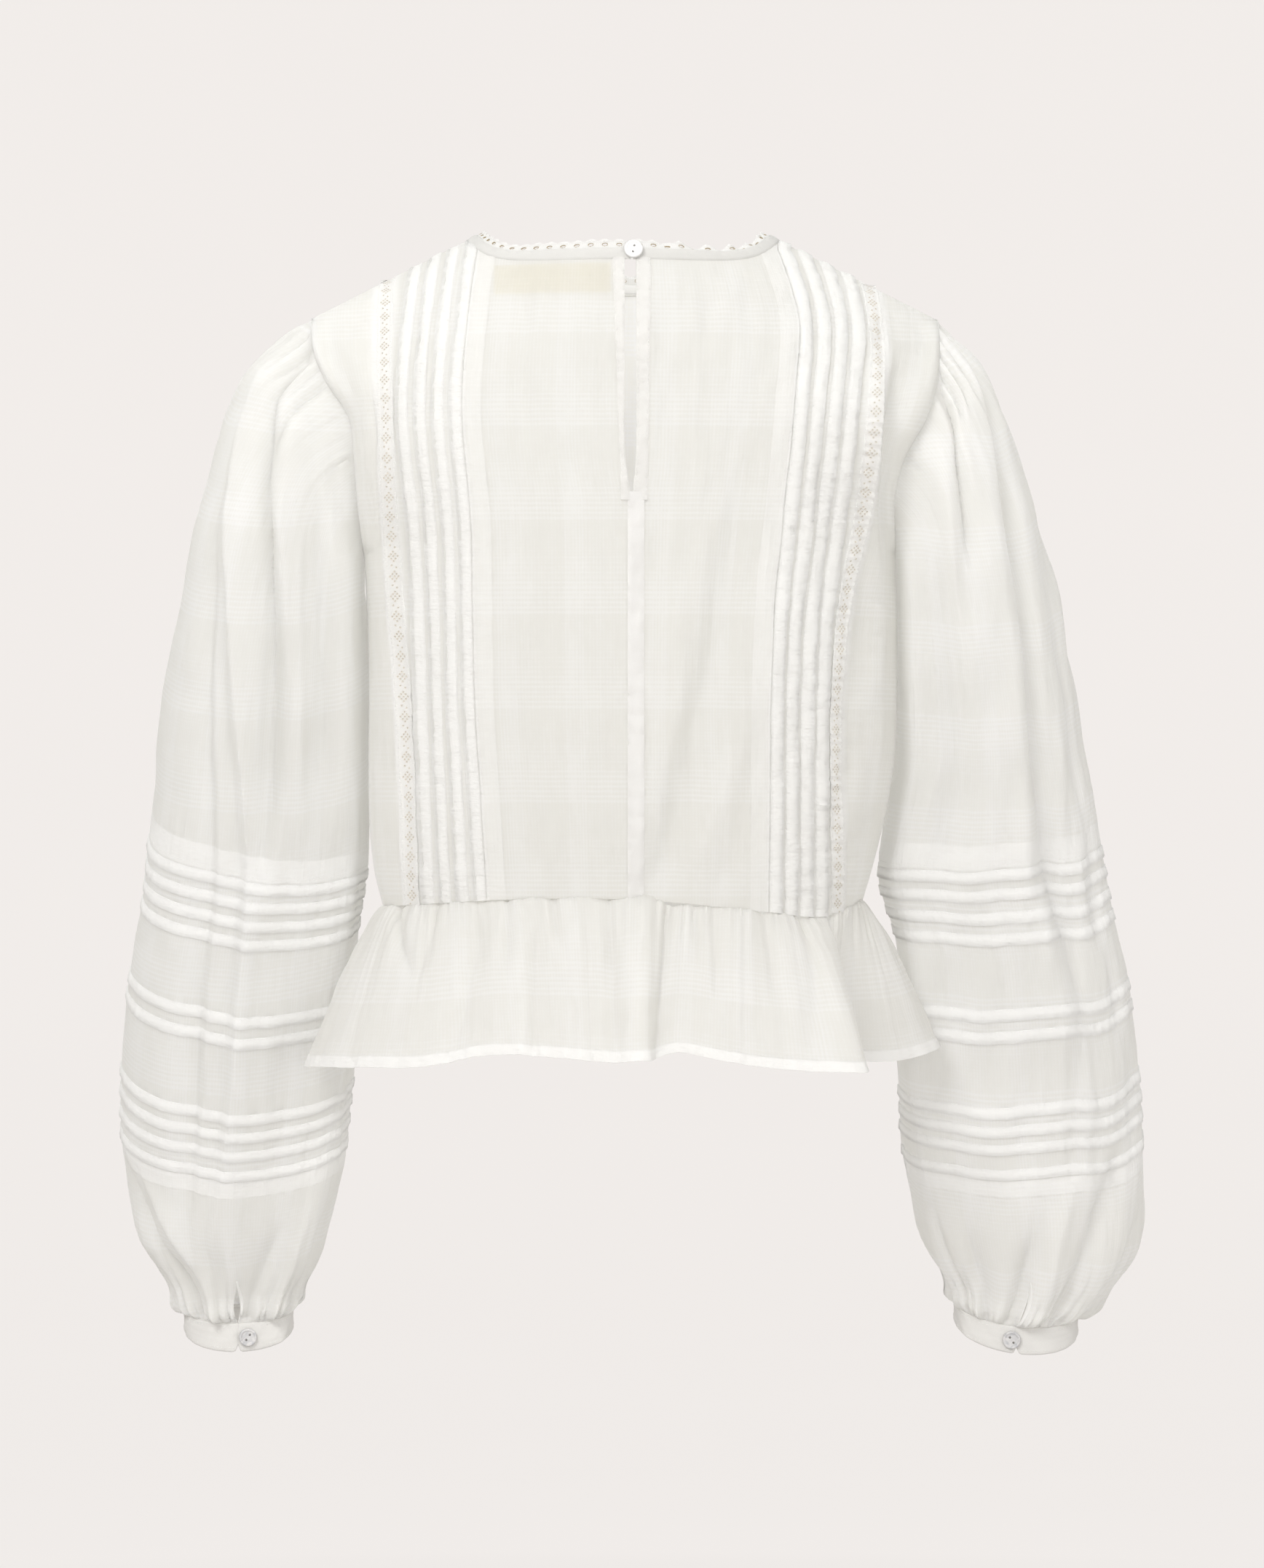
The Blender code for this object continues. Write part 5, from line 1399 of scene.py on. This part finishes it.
class Look:
    """A material being put together from nodes."""

    def __init__(self, name):
        self.material = bpy.data.materials.new(name)
        self.material.use_nodes = True
        self.tree = self.material.node_tree
        self.shader = self.tree.nodes["Principled BSDF"]

    def node(self, kind, inputs=(), out=0, **settings):
        """A new node's output, with its inputs set or joined up."""
        made = self.tree.nodes.new("ShaderNode" + kind)
        for key, value in settings.items():
            setattr(made, key, value)
        for socket, value in dict(inputs).items():
            self.put(made.inputs[socket], value)
        return made.outputs[out]

    def put(self, socket, value):
        """Join a socket to another node's output, or set its value."""
        if isinstance(value, bpy.types.NodeSocket):
            self.tree.links.new(value, socket)
        else:
            socket.default_value = value

    def math(self, operation, a, b=0.0, c=0.0):
        return self.node("Math", {0: a, 1: b, 2: c}, operation=operation)

    def mix(self, share, a, b):
        """Colour a turning into colour b."""
        made = self.tree.nodes.new("ShaderNodeMix")
        made.data_type = "RGBA"
        self.put(made.inputs[0], share)
        self.put(made.inputs[6], a)
        self.put(made.inputs[7], b)
        return made.outputs[2]

    def split(self, vector):
        """The three parts of a vector."""
        made = self.tree.nodes.new("ShaderNodeSeparateXYZ")
        self.put(made.inputs[0], vector)
        return made.outputs

    def times(self, a, b):
        return self.math("MULTIPLY", a, b)

    def times_plus(self, a, b, c):
        return self.math("MULTIPLY_ADD", a, b, c)

    def wave(self, value, pitch):
        """A sine, from -1 to 1."""
        return self.math("SINE", self.times(value, 2 * math.pi / pitch))

    def ramp(self, value, stops):
        """Levels of grey between stops, each a place from 0 to 1 and its level."""
        made = self.tree.nodes.new("ShaderNodeValToRGB")
        points = made.color_ramp.elements
        while len(points) < len(stops):
            points.new(0.5)
        for point, (place, level) in zip(points, stops):
            point.position = place
            point.color = (level, level, level, 1)
        self.put(made.inputs[0], value)
        return made.outputs[0]

    def finish(self, colour, height=None, strength=0.3, distance=0.0002, through=0.0, **constants):
        """The finished material: its colour, its relief, and the share of light that it lets through."""
        self.put(self.shader.inputs["Base Color"], colour)
        for name, value in constants.items():
            self.shader.inputs[name.replace("_", " ")].default_value = value
        if height is not None:
            bump = self.node("Bump", {"Strength": strength, "Distance": distance, "Height": height})
            self.put(self.shader.inputs["Normal"], bump)
        if through != 0.0:
            output = self.tree.nodes["Material Output"]
            light = self.node("BsdfTranslucent", {"Color": colour})
            made = self.node("MixShader", {0: through, 1: self.shader.outputs[0], 2: light})
            self.put(output.inputs[0], made)
        return self.material


COTTON = {"Roughness": 0.9, "Specular_IOR_Level": 0.2, "Sheen_Weight": 0.06, "Sheen_Roughness": 0.5}
SINGLE = (0.925, 0.922, 0.900, 1)  # one layer of the voile where the weave is open
SINGLE_CLOSE = (0.959, 0.959, 0.949, 1)  # one layer where the check's threads lie close
DOUBLE = (0.953, 0.9525, 0.942, 1)  # sewn layers
CHECK_ALONG = 0.0570  # the check's repeat down the cloth
CHECK_ACROSS = 0.0420
# How strong the check's threads are at shares of its repeat, down the cloth and across it
WEFT = ((0, 0.0), (0.34, 0.02), (0.37, 0.30), (0.62, 0.50), (0.66, 0.95), (0.97, 1.0), (0.985, 0.0))
WARP = ((0, 0.75), (0.13, 0.7), (0.16, 0.0), (0.55, 0.0), (0.6, 0.25), (0.82, 0.3), (0.86, 0.75))
LINE_PITCH = 0.0030  # from one bright line of the weft to the next
THROUGH = 0.72  # share of light that the voile lets through


def noise_along(look, u, v, across, down, detail):
    """Soft noise with its own scale across the cloth and down it, in repeats a metre."""
    place = look.node("CombineXYZ", {0: look.times(u, across), 1: look.times(v, down)})
    return look.node("TexNoise", {"Vector": place, "Scale": 1.0, "Detail": detail})


def voile(name, painted_light, flip=False, label=False, crinkled=1.0, sewn=DOUBLE, low_painted_light=None):
    """Checked cotton voile: weft lines in groups, softer warp columns, and a crinkled crepe surface. The
    shift given for painted light and shade is added to its tints; sewn is its tint where it lies doubled, and
    the tint given for low on the piece is painted light on the doubled cloth there, where it lies in shade."""
    look = Look(name)
    place = look.node("Attribute", out=1, attribute_name="cloth")
    u, v, layer = look.split(place)
    v = look.times_plus(v, -1.0 if flip else 1.0, 0.0)
    down = look.math("FRACT", look.math("DIVIDE", v, CHECK_ALONG))
    over = look.math("FRACT", look.math("DIVIDE", u, CHECK_ACROSS))
    weft, warp = look.ramp(down, WEFT), look.ramp(over, WARP)
    lines = look.math("POWER", look.times_plus(look.wave(v, LINE_PITCH), 0.499, 0.501), 1.6)
    fine = look.times_plus(look.wave(u, 0.0018), 0.3, 0.7)
    weft, warp = look.times(weft, lines), look.times(warp, fine)
    thread = noise_along(look, u, v, 1 / 0.0009, 1 / 0.012, 1.0)
    slub = noise_along(look, u, v, 1 / 0.009, 1 / 0.0010, 1.0)
    crinkle = noise_along(look, u, v, 1 / 0.0048, 1 / 0.045, 2.0)
    cockle = noise_along(look, u, v, 1 / 0.022, 1 / 0.0060, 1.0)
    cloudy = look.node("TexNoise", {"Vector": place, "Scale": 28.0, "Detail": 1.0})
    ticks = look.times(look.wave(u, 0.0021), 0.5)
    picks = look.times(look.wave(v, 0.0019), 0.5)
    tone = look.math("ADD", weft, look.times(warp, 0.75))
    tone = look.times_plus(ticks, 0.55, tone)
    tone = look.times_plus(picks, 0.22, tone)
    for grain, share in ((thread, 0.9), (slub, 0.7), (crinkle, 0.8), (cloudy, 0.5)):
        tone = look.times_plus(look.math("SUBTRACT", grain, 0.5), share, tone)
    tone = look.node("Clamp", {0: tone})
    # Painted light and shade: the tints are moved lighter or darker by the shift given for each piece
    tints = (np.minimum(np.add(tint[:3], painted_light), 0.985) for tint in (SINGLE, SINGLE_CLOSE))
    open_weave, close_weave = (tuple(float(c) for c in tint) + (1,) for tint in tints)
    colour = look.mix(tone, open_weave, close_weave)
    doubled = look.times_plus(look.math("SUBTRACT", slub, 0.5), 0.5, 0.85)
    # Painted light: low on the piece, the doubled cloth turns to a lighter tint
    if low_painted_light:
        sewn = look.mix(look.node("MapRange", {0: v, 1: 0.12, 2: 0.19}), sewn, low_painted_light)
    colour = look.mix(look.node("Clamp", {0: look.times(layer, doubled)}), colour, sewn)
    if label:
        colour = look.mix(label_mask(look), colour, (0.945, 0.925, 0.855, 1))
    height = look.times(crinkle, 1.0)
    for grain, share in ((thread, 0.16), (slub, 0.16), (cockle, 0.35), (weft, 0.05)):
        height = look.times_plus(grain, share, height)
    crepe = noise_along(look, u, v, 1 / 0.0060, 1 / 0.0022, 2.0)
    height = look.times_plus(look.times(crepe, layer), crinkled, height)
    through = look.times_plus(layer, -0.12, THROUGH)
    return look.finish(colour, height, 1.0, 0.0011, through, **COTTON)


def label_mask(look):
    """Where the label inside shows through, as a share of 1."""
    x, _, z = look.split(look.node("TexCoord", out=3))
    mask = 1.0
    for at, (low, high) in ((x, LABEL_X), (z, LABEL_Z)):
        off = look.math("ABSOLUTE", look.math("SUBTRACT", at, (low + high) / 2))
        inside = look.node("MapRange", {0: off, 1: (high - low) / 2 + 0.0006, 2: (high - low) / 2 - 0.0006})
        mask = look.times(inside, mask)
    return look.times(mask, LABEL_SHOWS)


def plain_cotton(name, colour, through, scale=1400.0, front=None):
    """Close white cotton for bands, bindings and stitches; front is its tint at the front, painted light that
    lifts the cloth there out of the shade it lies in.
    """
    look = Look(name)
    place = look.node("TexCoord", out=3)
    grain = look.node("TexNoise", {"Vector": place, "Scale": scale, "Detail": 3.0})
    cloud = look.node("TexNoise", {"Vector": place, "Scale": 60.0, "Detail": 2.0})
    dark = tuple(0.93 * c for c in colour[:3]) + (1,)
    if front:
        # Painted light: towards the front the cotton turns to the lighter front tint
        painted_front_share = look.node("MapRange", {0: look.split(place)[1], 1: 0.0, 2: 0.05})
        dark, colour = look.mix(painted_front_share, dark, front), look.mix(painted_front_share, colour, front)
    tone = look.times_plus(cloud, 0.5, look.times(grain, 0.7))
    colour = look.mix(look.node("Clamp", {0: tone}), dark, colour)
    return look.finish(colour, grain, 0.4, 0.0002, through, **COTTON)


NET_PITCH = 0.0009  # from one of the lace's slanting threads to the next


def lace_cotton(name, painted_light=0.0, dark=(0.840, 0.805, 0.740)):
    """Netted cotton lace: threads crossing at a slant, with closely stitched borders. Its tints take a shift
    for painted light or shade, and the threads round its holes are darkened towards the dark tint given,
    painted shade in the holes' hollows.
    """
    look = Look(name)
    u, v, border = look.split(look.node("Attribute", out=1, attribute_name="cloth"))
    waves = [look.wave(look.math(kind, u, v), NET_PITCH) for kind in ("ADD", "SUBTRACT")]
    net = look.times_plus(look.math("MAXIMUM", *waves), 0.5, 0.5)
    sewn = look.times_plus(look.wave(v, 0.0013), 0.25, 0.75)
    rim = look.math("MAXIMUM", look.times(border, -1.0), 0.0)
    height = look.node("Mix", {0: look.node("Clamp", {0: border}), 2: net, 3: sewn})
    tints = ((0.900, 0.897, 0.878), (0.948, 0.946, 0.934))
    low, high = (tuple(c + painted_light for c in tint) + (1,) for tint in tints)
    colour = look.mix(height, low, high)
    # Painted shade: the threads round the holes turn towards the dark tint
    colour = look.mix(look.node("Clamp", {0: rim}), colour, dark + (1,))
    return look.finish(colour, height, 0.5, 0.00025, 0.5, **COTTON)


def button_stuff(name, low, high, scale, roughness, coat):
    """Polished shell or resin with a soft cloudy figure."""
    look = Look(name)
    cloudy = {"Vector": look.node("TexCoord", out=3), "Scale": scale, "Detail": 3.0, "Distortion": 1.2}
    cloud = look.node("TexNoise", cloudy)
    tone = look.node("MapRange", {0: cloud, 1: 0.35, 2: 0.65})
    return look.finish(look.mix(tone, low, high), Roughness=roughness, Coat_Weight=coat, Coat_Roughness=0.08)


# ---- Stage, light and camera -----------------------------------------------------------------------------

EYE = (0.0, -3.5, -0.3293)
SENSOR = 36.0
VIEW_HEIGHT = 0.97565  # height of the picture at the distance of the origin
FLOOR_Z = -1.35
# The floor in section, from its middle outwards: distance and height
FLOOR_PROFILE = ((0, 0), (2.5, 0), (5.0, 0), (6.4, 0.10), (7.3, 0.45), (7.8, 1.0), (8.0, 1.8), (8.05, 3.2))
FLOOR_GLOW = (0.38, 0.665)  # under the blouse, and at the lit backdrop
WORLD_LIGHT = 0.68


def camera():
    """Level, behind the blouse."""
    body = bpy.data.cameras.new("camera")
    body.sensor_width = SENSOR
    body.lens = SENSOR * -EYE[1] / VIEW_HEIGHT
    body.clip_start, body.clip_end = 0.05, 60
    eye = add("camera", body)
    eye.location = EYE
    eye.rotation_euler = (math.pi / 2, 0, 0)
    bpy.context.scene.camera = eye


def area_light(name, place, aim, size, power, colour):
    """A round lamp that faces aim."""
    disk = bpy.data.lights.new(name, "AREA")
    disk.shape = "DISK"
    disk.size, disk.energy, disk.color = size, power, colour
    lamp = add(name, disk)
    lamp.location = place
    lamp.rotation_euler = (Vector(aim) - Vector(place)).to_track_quat("-Z", "Y").to_euler()


def stage():
    """A round pale bowl: a level floor that curves up at its rim, open above."""
    profile = np.array(FLOOR_PROFILE) + (0, FLOOR_Z)
    sides = 96
    a = np.linspace(0, 2 * math.pi, sides, endpoint=False)
    points = np.stack([np.outer(profile[:, 0], np.cos(a)), np.outer(profile[:, 0], np.sin(a))], -1)
    points = np.concatenate([points, np.repeat(profile[:, 1:, None], sides, 1)], -1)
    mesh = bpy.data.meshes.new("floor")
    mesh.from_pydata(points.reshape(-1, 3).tolist(), [], grid_faces(len(profile), sides, True).tolist())
    mesh.shade_smooth()
    look = Look("floor_paint")
    grain = look.node("TexNoise", {"Vector": look.node("TexCoord", out=3), "Scale": 3.0, "Detail": 2.0})
    colour = look.mix(grain, (0.250, 0.241, 0.235, 1), (0.258, 0.249, 0.243, 1))
    away = look.node("VectorMath", {0: look.node("TexCoord", out=3)}, out=1, operation="LENGTH")
    glow = look.node("MapRange", {0: away, 1: 2.0, 2: 4.2, 3: FLOOR_GLOW[0], 4: FLOOR_GLOW[1]})
    look.put(look.shader.inputs["Emission Strength"], glow)
    tint = {"Emission_Color": (1.0, 0.962, 0.935, 1)}
    mesh.materials.append(look.finish(colour, Roughness=1.0, Specular_IOR_Level=0.0, **tint))
    add("floor", mesh)


def light():
    """Soft studio light: an even surround, a key from the upper left, a wide fill and a lamp overhead."""
    world = bpy.data.worlds.new("studio")
    world.use_nodes = True
    colour, strength = world.node_tree.nodes["Background"].inputs[:2]
    colour.default_value, strength.default_value = (1.0, 1.0, 1.0, 1), WORLD_LIGHT
    scene = bpy.context.scene
    scene.world = world
    area_light("key", (-1.5, -3.3, 2.0), (0, 0, -0.30), 1.8, 102, (1, 0.995, 0.99))
    area_light("fill", (1.8, -3.8, 0.1), (0, 0, -0.35), 2.4, 42, (1, 0.995, 0.99))
    area_light("top", (-0.2, 0.1, 2.6), (0, 0, -0.3), 1.6, 20, (1, 1, 0.995))
    scene.view_settings.view_transform = "Standard"
    scene.cycles.max_bounces = 8
    scene.cycles.use_light_tree = False


# ---- Putting it together -----------------------------------------------------------------------------------

# Painted light: the binding's lighter tint at the front, where it lies in shade
BINDING_FRONT_PAINTED_LIGHT = (0.972, 0.970, 0.960, 1)
# Painted light and shade: how much lighter or darker each side panel's voile is made
SIDE_PAINTED_LIGHT = {"left": 0.014, "right": -0.004}
# Painted light: a lighter tint for the cloth given as doubled low on the left side panel, beside the sleeve
# where it lies in shade
SIDE_LOW_PAINTED_LIGHT = {"left": (0.985, 0.985, 0.978, 1), "right": None}
# Painted light: the sleeves' voile is made lighter, the right one more, with a little more blue, and their
# doubled bands lighter than doubled cloth elsewhere
SLEEVE_PAINTED_LIGHT = {"left": (0.014, 0.015, 0.020), "right": (0.026, 0.027, 0.032)}
SLEEVE_SEWN_PAINTED_LIGHT = (0.976, 0.976, 0.968, 1)

cotton = plain_cotton("cotton_band", (0.932, 0.927, 0.912, 1), 0.45)
binding_cotton = plain_cotton("cotton_binding", (0.908, 0.904, 0.886, 1), 0.60, front=BINDING_FRONT_PAINTED_LIGHT)
facing_cotton = plain_cotton("cotton_facing", (0.915, 0.909, 0.890, 1), 0.50)
thread = plain_cotton("thread", (0.965, 0.965, 0.955, 1), 0.6, 3000.0)
lace = lace_cotton("lace_net")
# Painted shade: the cuffs' cotton is darker than the other bands, as they hang lowest and face down, away
# from the light
cuff_cotton = plain_cotton("cotton_cuff", (0.850, 0.843, 0.820, 1), 0.35)
tape = plain_cotton("label_tape", (0.80, 0.77, 0.68, 1), 0.3)
white = button_stuff("white_button", (0.70, 0.70, 0.69, 1), (0.77, 0.77, 0.76, 1), 300.0, 0.32, 0.2)
pearl = button_stuff("pearl_button", (0.43, 0.435, 0.445, 1), (0.61, 0.60, 0.59, 1), 200.0, 0.34, 0.15)

# Painted light and shade: the back's voile is made a little darker, and the side panels and sleeves lighter
# or darker, by how each lies in the light
for side in SIDES:
    back_panel(side, voile("voile_back_" + side, label=side == "left", painted_light=-0.010))
    side_panel(side, voile("voile_side_" + side, painted_light=SIDE_PAINTED_LIGHT[side], low_painted_light=SIDE_LOW_PAINTED_LIGHT[side]))
    lace_strip(side, lace)
    facing(side, facing_cotton)
    painted_light, flip = SLEEVE_PAINTED_LIGHT[side], side == "right"
    sleeve(side, voile("voile_sleeve_" + side, flip=flip, painted_light=painted_light, crinkled=0.5, sewn=SLEEVE_SEWN_PAINTED_LIGHT))
    placket(side, binding_cotton)
    cuff(side, cuff_cotton)
# Painted light: the front's voile is made lighter, as it lies in shade inside the blouse
front_panel(voile("voile_front", painted_light=0.040))
centre_back_band(cotton)
neck_label(tape)
neck_binding(binding_cotton)
# Painted shade: the edging's tints are made darker, and the threads round its eyelets darker still
neck_lace_edging(lace_cotton("lace_edging", -0.05, (0.52, 0.44, 0.30)))
start, end = PEPLUM_SEAM_TURNS
# Painted light and shade: the peplum's back is made a little darker and its front lighter, by how each lies
# in the light
peplum("peplum_back", start, end, 340, voile("voile_peplum_back", painted_light=-0.006))
peplum("peplum_front", end, start + 360, 240, voile("voile_peplum_front", painted_light=0.020))
for name, centre, way, tilt in button_places():
    button(name, centre, way, tilt, white if name == "neck_button" else pearl)
routes = [route for side in SIDES for route in back_stitch_routes(side)]
stitches("back_stitches", routes, thread)
for side in SIDES:
    stitches(f"sleeve_{side}_stitches", sleeve_stitch_routes(side), thread)

MAIN_BACK = ("back_left", "back_right")
# Each cloth as it was cut: its width and length, the share of that rectangle that the cut fills, how it is
# held, what it lies on or hangs from, and what is sewn on it
CUTS = (
    ("back_left", 0.205, 0.425, 0.95, "hung", (), ("lace_strip_left", "slit_facing_left", "back_stitches")),
    ("back_right", 0.205, 0.425, 0.95, "hung", (), ("lace_strip_right", "slit_facing_right")),
    ("back_side_left", 0.072, 0.390, 0.90, "hung", (), ()),
    ("back_side_right", 0.078, 0.390, 0.90, "hung", (), ()),
    ("front", 0.470, 0.425, 0.93, "hung", (), ()),
    ("sleeve_left", 0.440, 0.770, 0.86, "gathered", ("back_side_left", "front"), ("placket_left",)),
    ("sleeve_right", 0.440, 0.770, 0.86, "gathered", ("back_side_right", "front"), ("placket_right",)),
    ("peplum_back", 0.560, 0.110, 1.0, "gathered", MAIN_BACK, ()),
    ("peplum_front", 0.520, 0.108, 1.0, "gathered", ("front",), ()),
    ("cuff_left", 0.210, 0.0185, 1.0, "folded", ("sleeve_left",), ("sleeve_left_stitches",)),
    ("cuff_right", 0.210, 0.0185, 1.0, "folded", ("sleeve_right",), ("sleeve_right_stitches",)),
    ("neck_binding", 0.0155, 0.550, 1.0, "folded", (*MAIN_BACK, "front"), ("neck_lace_edging",)),
    ("centre_back_band", 0.0105, 0.270, 1.0, "laid", MAIN_BACK, ()),
    ("neck_label", 0.072, 0.026, 1.0, "laid", ("back_left",), ()),
)
for name, width, length, filled, held, holders, sewn in CUTS:
    sewn = [made[piece] for piece in sewn]
    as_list(holders)
    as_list(sewn)

stage()
light()
camera()
